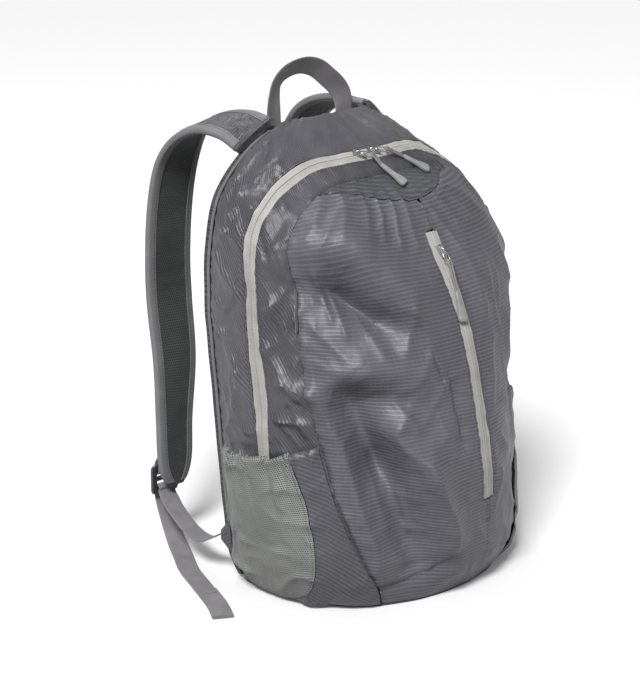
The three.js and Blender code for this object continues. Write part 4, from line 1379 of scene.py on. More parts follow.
@dataclass
class Shell:
    """The sewn cloth body: gussets, front panels, cap and base."""

    plan: SeamPlan
    shop: Workshop
    wall: float = 0.0014
    tuck: float = 0.0022
    seam_dip: float = 0.0012
    tuck_reach: float = 0.0026
    lip: float = 0.0004
    pucker: float = 0.00055
    pucker_reach: float = 0.008
    grid: float = 0.0026
    base_steps: int = 150
    grids: dict[str, tuple[Array, Array]] = field(default_factory=dict)

    def places(self, first: Array, second: Array, rows: int) -> tuple[Array, Array, Array, Array]:
        """Spread a panel between its two edges.

        Args:
            first: The first edge's step, around and height.
            second: The second edge's.
            rows: Steps from edge to edge.

        Returns:
            around and height by column and row, the distance along the columns, and the rows' shares.
        """
        body = self.plan.body
        along_a, rows_a = arc_rows(first, body)
        along_b, rows_b = arc_rows(second, body)
        steps = first[:, 0]
        mean = (along_a + along_b) / 2
        walk = np.linspace(0, mean[-1], max(int(mean[-1] / self.grid), 8) + 1)
        k = np.interp(walk, mean, steps)
        at = (np.interp(k, steps, along_a), np.interp(k, steps, along_b))
        v = np.linspace(0, 1, rows + 1)
        return *between((rows_a, rows_b), at, v), walk, v

    def panel(
        self, name: str, look: str, edges: tuple[Array, Array], rows: int, tucks: tuple[float, float]
    ) -> None:
        """Make one panel of cloth.

        Args:
            name: Its node's name.
            look: Its finish.
            edges: Its first and second edge.
            rows: Steps from edge to edge.
            tucks: How deep each edge dips into its seam, in metres.
        """
        body = self.plan.body
        around, height, walk, v = self.places(*edges, rows)
        bare = body.cloth(around, height)
        width = np.linalg.norm(bare[:, -1] - bare[:, 0], axis=-1)[:, None]
        waves = (
            np.sin(walk / 0.0019 + 1.9 * np.sin(walk / 0.0083) + 0.7 * np.sin(walk / 0.0031)),
            np.sin(walk / 0.0023 + 2.3 * np.sin(walk / 0.0071) + 1.1),
        )
        lift = np.zeros(around.shape)
        for inset, wave, dip in zip((v * width, (1 - v) * width), waves, tucks):
            lift = lift - dip * np.exp(-((inset / self.tuck_reach) ** 1.5))
            lift = lift + self.pucker * wave[:, None] * np.exp(-inset / self.pucker_reach)
        points = body.cloth(around, height, lift)
        normals = outer_normals(points, body.outward(around, height))
        self.grids[name] = (points, normals)
        piece = slab(name + "_cloth", points, points - normals * self.wall, body.uv(around, height))
        finish(piece, self.shop[look], [name])

    def along(
        self, name: str, second: bool, inset: float, start: float, end: float
    ) -> tuple[Array, Array]:
        """Give a line on a panel beside one of its edges.

        Args:
            name: The panel.
            second: True for its second edge.
            inset: Metres in from the edge.
            start: Share of the edge where the line starts.
            end: Share where it ends.

        Returns:
            The line's points and the way up from the cloth at each.
        """
        points, normals = self.grids[name]
        if second:
            points, normals = points[:, ::-1], normals[:, ::-1]
        last = len(points) - 1
        keep = slice(int(start * last), int(end * last) + 1)
        line, ups = [], []
        for row, up in zip(points[keep], normals[keep]):
            far = distances(row)
            line.append([np.interp(inset, far, values) for values in row.T])
            ups.append([np.interp(inset, far, values) for values in up.T])
        return np.array(line), unit(np.array(ups))

    def base(self) -> None:
        """Make the flat base with a rounded edge."""
        count = self.base_steps
        rim = self.plan.body.cloth(np.linspace(0.002, 0.998, count), np.zeros(count))[:, :2]
        outward = unit(rim - rim.mean(0))
        profile = ((0.004, 0.0), (0.0008, 0.0005), (0.0004, 0.0013), (0.0016, 0.0019))
        rings = [np.column_stack([rim - outward * inset, np.full(count, z)]) for inset, z in profile]
        verts = np.concatenate(rings)
        piece = shade(make_object("base_cloth", verts, tube_faces(len(profile), count), verts[:, :2]))
        finish(piece, self.shop["base_nylon"], ["bottom_panel"])

    def build(self) -> None:
        """Make all panels and the stitches beside their seams."""
        plan = self.plan
        k = np.arange(plan.last + 1)
        gap = plan.gap_beside(k, plan.zip_first, plan.last - plan.zip_first)
        centre = np.arange(plan.middle + 1)
        pocket_gap = plan.gap_beside(centre, *plan.pocket_zip)
        ends = np.arange(plan.cap_first, plan.last - plan.cap_first + 1)
        rear = (plan.rim_edge(k), plan.edge(ZIP_LINE, k, gap))
        fore = (plan.edge(ZIP_LINE, k, -gap), plan.edge(FRONT_SEAM, k, plan.gap / 2))
        cap = (plan.edge(FRONT_SEAM, ends, -plan.gap / 2), plan.cap_low())
        left = (plan.front_edge(False), plan.centre_edge(centre, pocket_gap))
        right = (plan.front_edge(True), plan.centre_edge(centre, -pocket_gap))
        dip, lip = self.seam_dip, -self.lip
        self.panel("rear_gusset", "side_nylon", rear, 30, (dip, lip))
        # the front gusset gets the darker copy of the side nylon: painted shade
        self.panel("front_gusset", "gusset_nylon", fore, 24, (lip, self.tuck))
        self.panel("stow_pocket_cap", "cap_nylon", cap, 26, (dip / 2, 0.0002))
        self.panel("front_panel_left", "front_nylon", left, 110, (dip, lip))
        self.panel("front_panel_right", "front_nylon", right, 84, (dip, lip))
        self.base()
        rows = (
            ("rear_gusset", True, 0.0022, 0.1, 0.9),
            ("front_gusset", False, 0.0022, 0.1, 0.9),
            ("front_panel_left", True, 0.0022, 0.18, 0.86),
            ("front_panel_right", True, 0.0022, 0.18, 0.86),
            ("stow_pocket_cap", True, 0.0024, 0.02, 0.98),
            ("stow_pocket_cap", False, 0.0028, 0.02, 0.98),
        )
        stitches = stitching("seam_stitches", [self.along(*row) for row in rows], StitchRow())
        finish(stitches, self.shop["dark_thread"])


@dataclass
class Zips:
    """Both zips: tape with its groove, coil ribs and stitches."""

    plan: SeamPlan
    shop: Workshop
    wall: float = 0.0012
    lift: float = 0.0004
    step: float = 0.0022
    coil: float = 0.0005
    groove: float = 0.0011
    edge_dip: float = 0.0004

    def strip(self, name: str, edges: tuple[Array, Array]) -> tuple[Array, Array]:
        """Make one zip's tape.

        Args:
            name: Its piece's and node's name.
            edges: Its two edges' steps and places.

        Returns:
            The grid of points and their normals.
        """
        body = self.plan.body
        along_a, rows_a = arc_rows(edges[0], body)
        along_b, rows_b = arc_rows(edges[1], body)
        share = np.linspace(0, 1, int(along_a[-1] / self.step) + 1)
        walk = share * along_a[-1]
        half = np.array([6.5, 5.4, 4.3, 3.3, 2.6, 2.0, 1.5, 1.0, 0.6, 0.3, 0.12]) * MM
        x = np.concatenate([-half, [0.0], half[::-1]])
        at_b = np.interp(np.interp(walk, along_a, edges[0][:, 0]), edges[1][:, 0], along_b)
        v = x / self.plan.zip_width + 0.5
        around, height = between((rows_a, rows_b), (walk, at_b), v)
        profile = self.lift + self.coil * np.exp(-((x / 0.0024) ** 4))
        profile = profile - self.groove * np.exp(-((x / 0.00042) ** 2))
        profile = profile - self.edge_dip * np.exp(-(((np.abs(x) - half[0]) / 0.0012) ** 2))
        wave = 0.0001 * np.sin(walk / 0.006 + 2 * np.sin(share * 40))[:, None]
        points = body.cloth(around, height, profile + wave)
        normals = outer_normals(points, body.outward(around, height))
        flat = np.stack(np.broadcast_arrays(x[None, :], walk[:, None]), -1)
        piece = slab(name + "_tape", points, points - normals * self.wall, flat)
        finish(piece, self.shop["zip_weave"], [name])
        return points, normals

    def build(self) -> None:
        """Make both zips."""
        plan = self.plan
        half = plan.zip_width / 2
        k = np.arange(plan.zip_first, plan.last - plan.zip_first + 1)
        main = self.strip("main_zip", (plan.edge(ZIP_LINE, k, half), plan.edge(ZIP_LINE, k, -half)))
        k = np.arange(plan.pocket_zip[0], plan.pocket_zip[1] + 1)
        pocket = self.strip("pocket_zip", (plan.centre_edge(k, half), plan.centre_edge(k, -half)))
        ribs, seams = [], []
        for points, normals in (main, pocket):
            middle = points.shape[1] // 2
            for lines, columns in ((ribs, 4), (seams, 8)):
                for column in (middle - columns, middle + columns):
                    lines.append((points[:, column], normals[:, column]))
        coil = stitching("zip_coil_ribs", ribs, StitchRow(0.0014, 0.0008, 0.0017, 0.00022))
        finish(coil, self.shop["zip_weave"])
        thread = stitching("zip_stitches", seams, StitchRow(0.003, 0.0021, 0.00045, 0.0002))
        finish(thread, self.shop["pale_thread"])


class Hand(Enum):
    """The pack's two sides."""

    LEFT = -1
    RIGHT = 1

    @property
    def word(self) -> str:
        """Give the side's name in pieces and nodes."""
        return self.name.lower()

    def mirror(self, points: Array) -> Array:
        """Turn points of the left side into this side's."""
        return points if self is Hand.LEFT else points * (-1, 1, 1)

    def place(self, around: Array) -> Array:
        """Turn places round the body's left side into this side's."""
        return around if self is Hand.LEFT else 1 - around


@dataclass
class SidePocket:
    """A side pocket: mesh insert with a gathered mouth, and a cloth panel beside it."""

    hand: Hand
    body: Body
    shop: Workshop
    depth: float = 0.019
    clear: float = 0.00225
    wall: float = 0.0014
    base: float = 0.006
    start: float = 0.018
    seam_gap: float = 0.0012
    front_gap: float = 0.003
    rows: int = 90
    panel_columns: int = 36
    flat_height: float = 0.15
    pleat: float = 0.0021
    sag: float = 0.0022
    ruffle: float = 0.0005
    roll: float = 0.003
    crest: float = 0.0012
    mouth: Array = field(
        default_factory=lambda: table(((0.02, 0.325), (0.096, 0.33), (0.159, 0.343), (0.24, 0.37)))
    )
    insert: Array = field(
        default_factory=lambda: table(
            (
                (0.0, 0.1, 0.15),
                (0.05, 0.066, 0.183),
                (0.12, 0.04, 0.207),
                (0.22, 0.026, 0.219),
                (0.4, 0.022, 0.22),
                (0.65, 0.022, 0.211),
                (0.85, 0.026, 0.199),
                (1.0, 0.031, 0.188),
            )
        )
    )

    def seam_end(self, height: Array) -> Array:
        """Give where the front seam lies at a height."""
        return smooth(FRONT_SEAM.rows[:8][:, [2, 1]], height, 1)

    def point(self, around: Array, up: Array) -> Array:
        """Give points of the pocket's outer face.

        Args:
            around: Places round the body, for the left side.
            up: Shares of the way up to the mouth.

        Returns:
            The points.
        """
        mouth = smooth(self.mouth, around, 1)
        height = self.base + (mouth - self.base) * up
        end = self.seam_end(height)
        t = np.clip((around - self.start) / (end - self.start), 0, 1)
        round_share = np.power(np.sin(np.pi * t), 0.8)
        phase = t * 62 + 2.2 * np.sin(t * 17) + 1.2 * np.sin(t * 41)
        gathers = 1 + 0.17 * np.power(up, 5) * np.sin(phase)
        bulge = self.depth * round_share * gathers * (0.06 + 0.94 * np.sqrt(np.sin(np.pi / 2 * up)))
        pleats = self.pleat * np.power(up, 3) * np.sin(t * 29 + 1.5 * np.sin(t * 11)) * round_share
        sag = -self.sag * np.exp(-(((t - 0.45) / 0.2) ** 2) - ((up - 0.16) / 0.07) ** 2)
        ruffle = self.ruffle * np.clip((up - 0.93) / 0.07, 0, 1) * np.sin(phase * 1.7 + 0.6) * round_share
        roll = -self.roll * np.clip((up - 0.965) / 0.035, 0, 1) ** 2
        crest = self.crest * np.clip((up - 0.9) / 0.1, 0, 1) * np.sin(phase * 0.42) * round_share
        lift = self.clear + bulge + pleats + sag + ruffle + roll
        return self.body.cloth(self.hand.place(around), height + crest / self.body.height, lift)

    def piece(
        self, part: str, look: str, slot: str, around: Array, up: Array
    ) -> tuple[Array, Array]:
        """Make one of the pocket's two pieces.

        Args:
            part: Its node's name without the side.
            look: Its finish.
            slot: Not used.
            around: Its places round the body, by column and row.
            up: Its shares of the way up.

        Returns:
            The points and normals of its outer face.
        """
        name = f"{part}_{self.hand.word}"
        points = self.point(around, up)
        low_third = up * 0.33
        normals = outer_normals(points, self.body.outward(self.hand.place(around), low_third))
        flat = np.stack([around * self.body.girth, up * self.flat_height], -1)
        made = slab(name + "_cloth", points, points - normals * self.wall, flat)
        finish(made, self.shop[look], [name])
        return points, normals

    def build(self) -> None:
        """Make the insert, the panel and the stitches between them."""
        up = np.linspace(0, 1, self.rows) ** 0.9
        low, high = (smooth(self.insert, up, column)[:, None] for column in (1, 2))
        u = np.linspace(0, 1, self.rows)
        ups = np.broadcast_to(up, (self.rows, self.rows))
        places = (low + (high - low) * u).T
        mesh = self.piece("side_pocket_mesh", "pocket_knit", "pocket_mesh", places, ups)
        height = self.base + (smooth(self.mouth, np.array(0.23), 1) - self.base) * up
        start = high + self.seam_gap
        end = self.seam_end(height)[:, None] - self.front_gap
        u = np.linspace(0, 1, self.panel_columns)
        ups = np.broadcast_to(up, (self.panel_columns, self.rows))
        places = (start + (end - start) * u).T
        panel = self.piece("side_pocket_panel", "pocket_nylon", "nylon_dark", places, ups)
        lines = [(panel[0][1], panel[1][1]), (mesh[0][-3], mesh[1][-3])]
        row = StitchRow(0.0032, 0.0023, 0.0005, 0.00025)
        thread = stitching(f"pocket_stitches_{self.hand.word}", lines, row)
        finish(thread, self.shop["dark_thread"])


@dataclass
class BackPad:
    """The padded back behind the rim, and the binding round it."""

    body: Body
    shop: Workshop
    depth: float = 0.0115
    edge: float = 0.014
    gap: float = 0.0004
    channel: float = 0.0026
    quilting: float = 0.0008
    low: float = 0.004
    high: float = 0.985
    columns: int = 84
    rows: int = 118
    binding: float = 0.0016

    def build(self) -> None:
        """Make the pad and its binding."""
        u = np.linspace(0, 1, self.columns)[:, None]
        v = np.linspace(0, 1, self.rows)
        u = 0.5 - 0.5 * np.cos(np.pi * u) * (1 - 0.25 * np.sin(np.pi * u) ** 2)
        height = self.low + (self.high - self.low) * v
        left, right = (
            self.body.cloth(np.full(self.rows, around), height) for around in (0.001, 0.999)
        )
        width = (right - left)[:, 0]
        x = left[:, 0] + width * u
        y = np.broadcast_to(self.body.back_at(height) + self.gap, x.shape)
        z = np.broadcast_to(left[:, 2], x.shape)
        near = np.minimum(np.minimum(u, 1 - u) * width, np.minimum(v, 1 - v) * self.body.height)
        t = np.clip(near / self.edge, 0, 1)
        depth = self.depth * (0.45 + 0.55 * np.sqrt(t * (2 - t)))
        lines = np.exp(-((x / 0.006) ** 2)) + np.exp(-(((np.abs(x) - 0.075) / 0.005) ** 2))
        depth = depth - self.channel * lines * np.clip(near / 0.03, 0, 1)
        waves = 1 - np.cos(z / 0.0125 * 2 * np.pi / 6)
        depth = depth - self.quilting * waves * np.clip(near / 0.02, 0, 1)
        front = np.stack([x, y, z], -1)
        rear = np.stack([x, y + depth, z], -1)
        flat = np.stack([x, z], -1)
        pad = slab("back_pad", rear, front, flat)
        finish(pad, self.shop["air_knit"], ["back_panel"])
        rim = np.concatenate([left[3:-1], right[-2:2:-1]])
        rim[:, 1] = rim[:, 1] + 0.0006
        back = np.array([0.0, 1.0, 0.0])
        side = unit(np.cross(direction(rim), back))
        flattened = np.broadcast_to(back * 0.9, rim.shape)
        rings = round_rings(rim, side, flattened, self.binding, 10)
        binding = sweep("rim_binding", rings, distances(rim))
        finish(binding, self.shop["binding_weave"])


STRAP_ROWS = table(
    (
        # s, x, reach, drop, width, roll
        (0.0, -0.595, 0.0, 0.0, 0.84, 38),
        (0.1, -0.567, 0.25, -0.015, 0.82, 24),
        (0.2, -0.56, 0.55, -0.004, 0.84, 12),
        (0.28, -0.563, 0.78, 0.042, 0.9, 8),
        (0.34, -0.555, 0.93, 0.12, 0.97, -2),
        (0.42, -0.565, 1.0, 0.235, 1.0, -3),
        (0.54, -0.585, 1.01, 0.38, 1.0, -2),
        (0.66, -0.6, 0.98, 0.5, 1.0, 0),
        (0.78, -0.625, 0.9, 0.66, 0.94, 0),
        (0.88, -0.675, 0.85, 0.82, 0.8, 0),
        (0.95, -0.69, 0.83, 0.93, 0.74, 6),
        (1.0, -0.69, 0.83, 1.0, 0.5, 14),
    )
)


@dataclass
class Strap:
    """A padded shoulder strap: cloth outside, mesh inside, bound edges."""

    hand: Hand
    body: Body
    shop: Workshop
    width: float = 0.055
    wall: float = 0.008
    reach: float = 0.126
    drop: float = 0.364
    shoulder: tuple[float, float] = (0.0998, 0.424)
    inward: float = 0.0
    root_end: float = 0.45
    stations: int = 150
    binding: float = 0.0085
    proud: float = 0.0006

    def centre(self, s: Array) -> Array:
        """Give points of the strap's middle line at shares of its length."""
        shift = self.inward * np.cos(np.pi / 2 * np.minimum(s / self.root_end, 1)) ** 2
        x = smooth(STRAP_ROWS, s, 1) * self.body.width / 2 + shift
        y = self.shoulder[0] + smooth(STRAP_ROWS, s, 2) * self.reach
        z = self.shoulder[1] - smooth(STRAP_ROWS, s, 3) * self.drop
        return np.stack([x, y, z], -1)

    def frames(self) -> tuple[Array, Array, Array, Array, Array]:
        """Give the middle line, its width and face directions, half widths and distances."""
        s = np.linspace(0, 1, self.stations)
        centre = self.centre(s)
        run, along = direction(centre), distances(centre)
        roll = np.radians(smooth(STRAP_ROWS, s, 5))
        wide = np.stack([np.cos(roll), 0 * roll, np.sin(roll)], -1)
        wide = unit(wide - run * (wide * run).sum(-1, keepdims=True))
        thick = unit(np.cross(run, wide))
        half = smooth(STRAP_ROWS, s, 4) * self.width / 2
        tip = np.clip((1 - s) / 0.03, 0.05, 1)
        return centre, wide, thick, half * (0.55 + 0.45 * np.sqrt(tip * (2 - tip))), along

    def section(self, half: Array, along: Array, count: int = 22) -> tuple[Array, Array]:
        """Give the strap's outline across its run, from its left edge over one face and back on the other.

        Args:
            half: Half widths by station.
            along: The distance of each station.
            count: Points on each face.

        Returns:
            The places across and through, by station and point.
        """
        t = np.linspace(0, 1, count)
        angle = np.pi * (1 - t)
        x = np.cos(angle) * (1 - 0.12 * np.sin(angle) ** 2 * np.abs(np.cos(angle)))
        face = np.power(np.sin(angle), 0.42)
        wrinkle = 1 + 0.05 * np.sin(along / 0.0046 + 1.7 * np.sin(along / 0.013))[:, None] * np.sin(angle)
        top = face * self.wall / 2 * wrinkle
        across = np.concatenate([half[:, None] * x, half[:, None] * x[::-1][1:-1]], 1)
        through = np.concatenate([top, -top[:, ::-1][:, 1:-1]], 1)
        return across, through

    def build(self) -> None:
        """Make the strap and its bindings."""
        centre, wide, thick, half, along = self.frames()
        across, through = self.section(half, along)
        rings = centre[:, None] + wide[:, None] * across[..., None] + thick[:, None] * through[..., None]
        name = f"strap_{self.hand.word}"
        pad = sweep(name + "_pad", self.hand.mirror(rings), along)
        finish(pad, self.shop["strap_nylon"], [name])
        pad.data.materials.append(self.shop["air_knit"])
        sides = rings.shape[1]
        inner = np.zeros(len(pad.data.polygons), np.int32)
        quads = (self.stations - 1) * sides
        inner[:quads] = np.tile(np.arange(sides) < sides // 2, self.stations - 1)
        if thick[self.stations // 2][1] > 0:
            inner[:quads] = 1 - inner[:quads]
        pad.data.polygons.foreach_set("material_index", inner)
        lines = []
        for side in (-1, 1):
            q = np.linspace(-1, 1, 15)
            reach = self.binding / half[:, None]
            x = side * (1 - reach * np.abs(q) ** 1.6)
            shape = np.power(np.maximum(1 - x * x, 0), 0.21) * self.wall / 2
            z = np.sign(q) * shape
            grow_x = side * self.proud * (1 - np.abs(q))
            grow_z = np.sign(q) * self.proud * np.minimum(np.abs(q) * 3, 1)
            faces = [
                centre[:, None]
                + wide[:, None] * (x * half[:, None] + grow_x * share)[..., None]
                + thick[:, None] * (z + grow_z * share)[..., None]
                for share in (1, -0.5)
            ]
            flat = np.stack(np.broadcast_arrays((q * self.binding)[None, :], along[:, None]), -1)
            keep = slice(2, self.stations - 1)
            outer, inner_face = (self.hand.mirror(points[keep]) for points in faces)
            word = "inner" if side > 0 else "outer"
            tape = slab(f"{name}_binding_{word}", outer, inner_face, flat[keep])
            finish(tape, self.shop["binding_weave"])
            for edge in (1, -2):
                lines.append((outer[:, edge], self.hand.mirror(np.sign(q[edge]) * thick[keep])))
        thread = stitching(f"{name}_stitches", lines, StitchRow(0.0034, 0.0024, 0.0005, 0.0003))
        finish(thread, self.shop["dark_thread"])


def ribbon(
    name: str, centre: Array, wide: Array, width: float, wall: float, crown: float = 0.0
) -> Piece:
    """Make a flat woven band with soft edges.

    Args:
        name: The piece's name.
        centre: Its middle line.
        wide: The way across it at each point.
        width: Its width.
        wall: Its thickness.
        crown: How far its middle stands above its edges.

    Returns:
        The piece.
    """
    run = direction(centre)
    wide = unit(wide - run * (wide * run).sum(-1, keepdims=True))
    up = unit(np.cross(run, wide))
    x = np.array([-1, -0.97, -0.88, -0.5, 0, 0.5, 0.88, 0.97, 1]) * width / 2
    z = np.array([0.15, 0.38, 0.5, 0.5, 0.5, 0.5, 0.5, 0.38, 0.15]) * wall
    bow = crown * (1 - (2 * x / width) ** 2)
    across = np.concatenate([x, x[::-1]])
    through = np.concatenate([z + bow, -z + bow[::-1]])
    rings = centre[:, None] + wide[:, None] * across[None, :, None] + up[:, None] * through[None, :, None]
    return sweep(name, rings, distances(centre))


@dataclass
class Webbing:
    """The lower strap: tab, webbing, ladder lock and keeper."""

    hand: Hand
    shop: Workshop
    width: float = 0.02
    wall: float = 0.0015
    hem_stations: int = 17
    lock_at: tuple[float, float, float] = (-107, 216, 62)
    route: Array = field(
        default_factory=lambda: table(
            (
                (-136, 100, 45, 8),
                (-134.5, 112, 38, 6),
                (-131, 130, 29.5, 0),
                (-126, 156, 31, 0),
                (-118, 188, 42, 0),
                (-109.5, 207, 48, 0),
                (-107, 212.6, 52.5, 0),
                (-107, 212.8, 55.8, 0),
                (-107, 214.4, 58.2, 0),
                (-107, 216, 58.9, 0),
                (-107, 217.6, 58.2, 0),
                (-107, 219.2, 55.8, 0),
                (-107, 219.3, 52, 0),
                (-107.5, 218, 42, 0),
                (-110, 206, 22, -6),
                (-117, 188, 7, -14),
                (-130, 164, 1.9, -24),
                (-149, 134, 1.3, -25),
                (-167, 96, 1.3, -25),
                (-188, 52, 1.3, -26),
                (-204, 26, 1.3, -30),
            )
        )
    )
    keeper: Array = field(
        default_factory=lambda: table(
            (
                (3, -5.8, 34),
                (1, -4.9, 24),
                (0, -2.9, 15),
                (0, -2.9, 11.5),
                (0, -1.2, 8.4),
                (0, 1.2, 8.4),
                (0, 2.9, 11.5),
                (0, 2.9, 18),
                (1, 0.4, 24),
                (3, -3.7, 34),
            )
        )
    )

    def band(self, name: str, rows: Array, count: int, node: str) -> tuple[Array, Array]:
        """Make a band through a table of places and turns.

        Args:
            name: The piece's name.
            rows: x, y and z in millimetres and the turn of the width in degrees.
            count: Its stations.
            node: The node that it stands for.

        Returns:
            Its middle line and width directions.
        """
        fine = eased(rows, count)
        centre = self.hand.mirror(fine[:, :3] * MM)
        turn = np.radians(fine[:, 3])
        wide = self.hand.mirror(np.stack([np.cos(turn), np.sin(turn), 0 * turn], -1))
        piece = ribbon(name, centre, wide, self.width, self.wall)
        finish(piece, self.shop["strap_weave"], [node])
        return centre, wide

    def build(self) -> None:
        """Make the pieces of one side."""
        word = self.hand.word
        centre, wide = self.band(f"webbing_{word}_band", self.route, 190, f"webbing_{word}")
        folded = slice(-self.hem_stations, None)
        above = centre[folded] + np.array([0, 0, self.wall + 0.0001])
        hem = ribbon(f"webbing_{word}_hem", above, wide[folded], self.width * 0.985, self.wall)
        finish(hem, self.shop["strap_weave"])
        at = 2 - self.hem_stations
        reach = np.linspace(-1, 1, 20)[:, None] * self.width * 0.42
        cross = centre[at] + unit(wide[at]) * reach
        cross[:, 2] += self.wall * 1.5 + 0.0001
        up = np.tile([0.0, 0.0, 1.0], (len(cross), 1))
        thread = stitching(f"webbing_{word}_stitches", [(cross, up)], StitchRow(0.0026, 0.0019))
        finish(thread, self.shop["dark_thread"])
        rows = np.column_stack([self.keeper + self.lock_at, np.zeros(len(self.keeper))])
        self.band(f"strap_keeper_{word}_band", rows, 70, f"strap_keeper_{word}")
        lock = refined(f"ladder_lock_{word}", 0.0009, 3)
        finish(lock, self.shop["lock_plastic"], [f"ladder_lock_{word}"])
        tab = refined(f"strap_tab_{word}", 0.0005, 2)
        finish(tab, self.shop["pocket_nylon"], [f"strap_tab_{word}"])


def refined(node: str, bevel: float, segments: int) -> Piece:
    """Copy a moulded or sewn CAD piece, join its loose triangles and round its edges.

    Args:
        node: The CAD node.
        bevel: The rounding in metres.
        segments: The rounding's steps.

    Returns:
        The rounded copy.
    """
    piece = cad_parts[node].copy()
    piece.data = piece.data.copy()
    piece.name = node + "_part"
    piece.parent = None
    for key in list(piece.keys()):
        del piece[key]
    bpy.context.scene.collection.objects.link(piece)
    activate(piece)
    bpy.ops.object.mode_set(mode="EDIT")
    bpy.ops.mesh.select_all(action="SELECT")
    bpy.ops.mesh.remove_doubles(threshold=0.00001)
    bpy.ops.mesh.dissolve_limited(angle_limit=math.radians(2))
    bpy.ops.uv.cube_project(cube_size=1.0, scale_to_bounds=False)
    bpy.ops.object.mode_set(mode="OBJECT")
    if piece.data.uv_layers:
        piece.data.uv_layers[0].name = "flat"
    round_off(piece, bevel, segments, 35)
    return shade(piece, 35)


@dataclass
class HaulLoop:
    """The haul loop of webbing behind the top edge."""

    body: Body
    shop: Workshop
    width: float = 0.02
    wall: float = 0.0015
    rise: float = 0.048
    span: float = 0.093
    tilt: float = 0.6
    crown: float = 0.0008
    stations: int = 130
    seat: float = 0.96
    route: Array = field(
        default_factory=lambda: table(
            (
                (-0.57, -0.42),
                (-0.57, 0.1),
                (-0.56, 0.4),
                (-0.527, 0.62),
                (-0.43, 0.79),
                (-0.28, 0.88),
                (-0.118, 0.89),
                (0.043, 0.79),
                (0.183, 0.6),
                (0.312, 0.4),
                (0.398, 0.19),
                (0.43, -0.04),
                (0.43, -0.42),
            )
        )
    )

    def build(self) -> None:
        """Make the loop."""
        fine = eased(self.route, self.stations)
        behind = 2 * BackPad.gap + BackPad.depth + self.wall / 2
        y = np.full(self.stations, float(self.body.back_at(np.array(self.seat))) + behind)
        z = self.body.height + fine[:, 1] * self.rise
        centre = np.stack([fine[:, 0] * self.span, y, z], -1)
        run = direction(centre)
        lean = self.tilt * np.sin(np.pi * np.linspace(0, 1, self.stations))
        wide = np.stack([run[:, 2], lean, -run[:, 0]], -1)
        piece = ribbon("haul_loop_band", centre, wide, self.width, self.wall, self.crown)
        finish(piece, self.shop["strap_weave"], ["haul_loop"])


@dataclass
class SideTag:
    """The small blank ribbon in the left front seam."""

    body: Body
    shop: Workshop
    start: float = 0.265
    end: float = 0.302
    half: float = 0.002
    low: float = 0.001
    reach: float = 0.0065

    def build(self) -> None:
        """Make the tag."""
        around, height = FRONT_SEAM.at(np.linspace(self.start, self.end, 24))
        rise = np.linspace(0, 1, 8)
        lift = self.low + (self.reach - self.low) * np.sin(rise * np.pi / 2)
        faces = []
        for side in (-1, 1):
            columns = [
                self.body.cloth(around + side * self.half * 0.5 * (1 - t * 0.6), height, float(v))
                for t, v in zip(rise, lift)
            ]
            faces.append(np.stack(columns, 1))
        flat = np.stack(np.broadcast_arrays(lift[None, :], (height * self.body.height)[:, None]), -1)
        piece = slab("side_tag_ribbon", *faces, flat)
        finish(piece, self.shop["binding_weave"], ["side_loop_tag"])


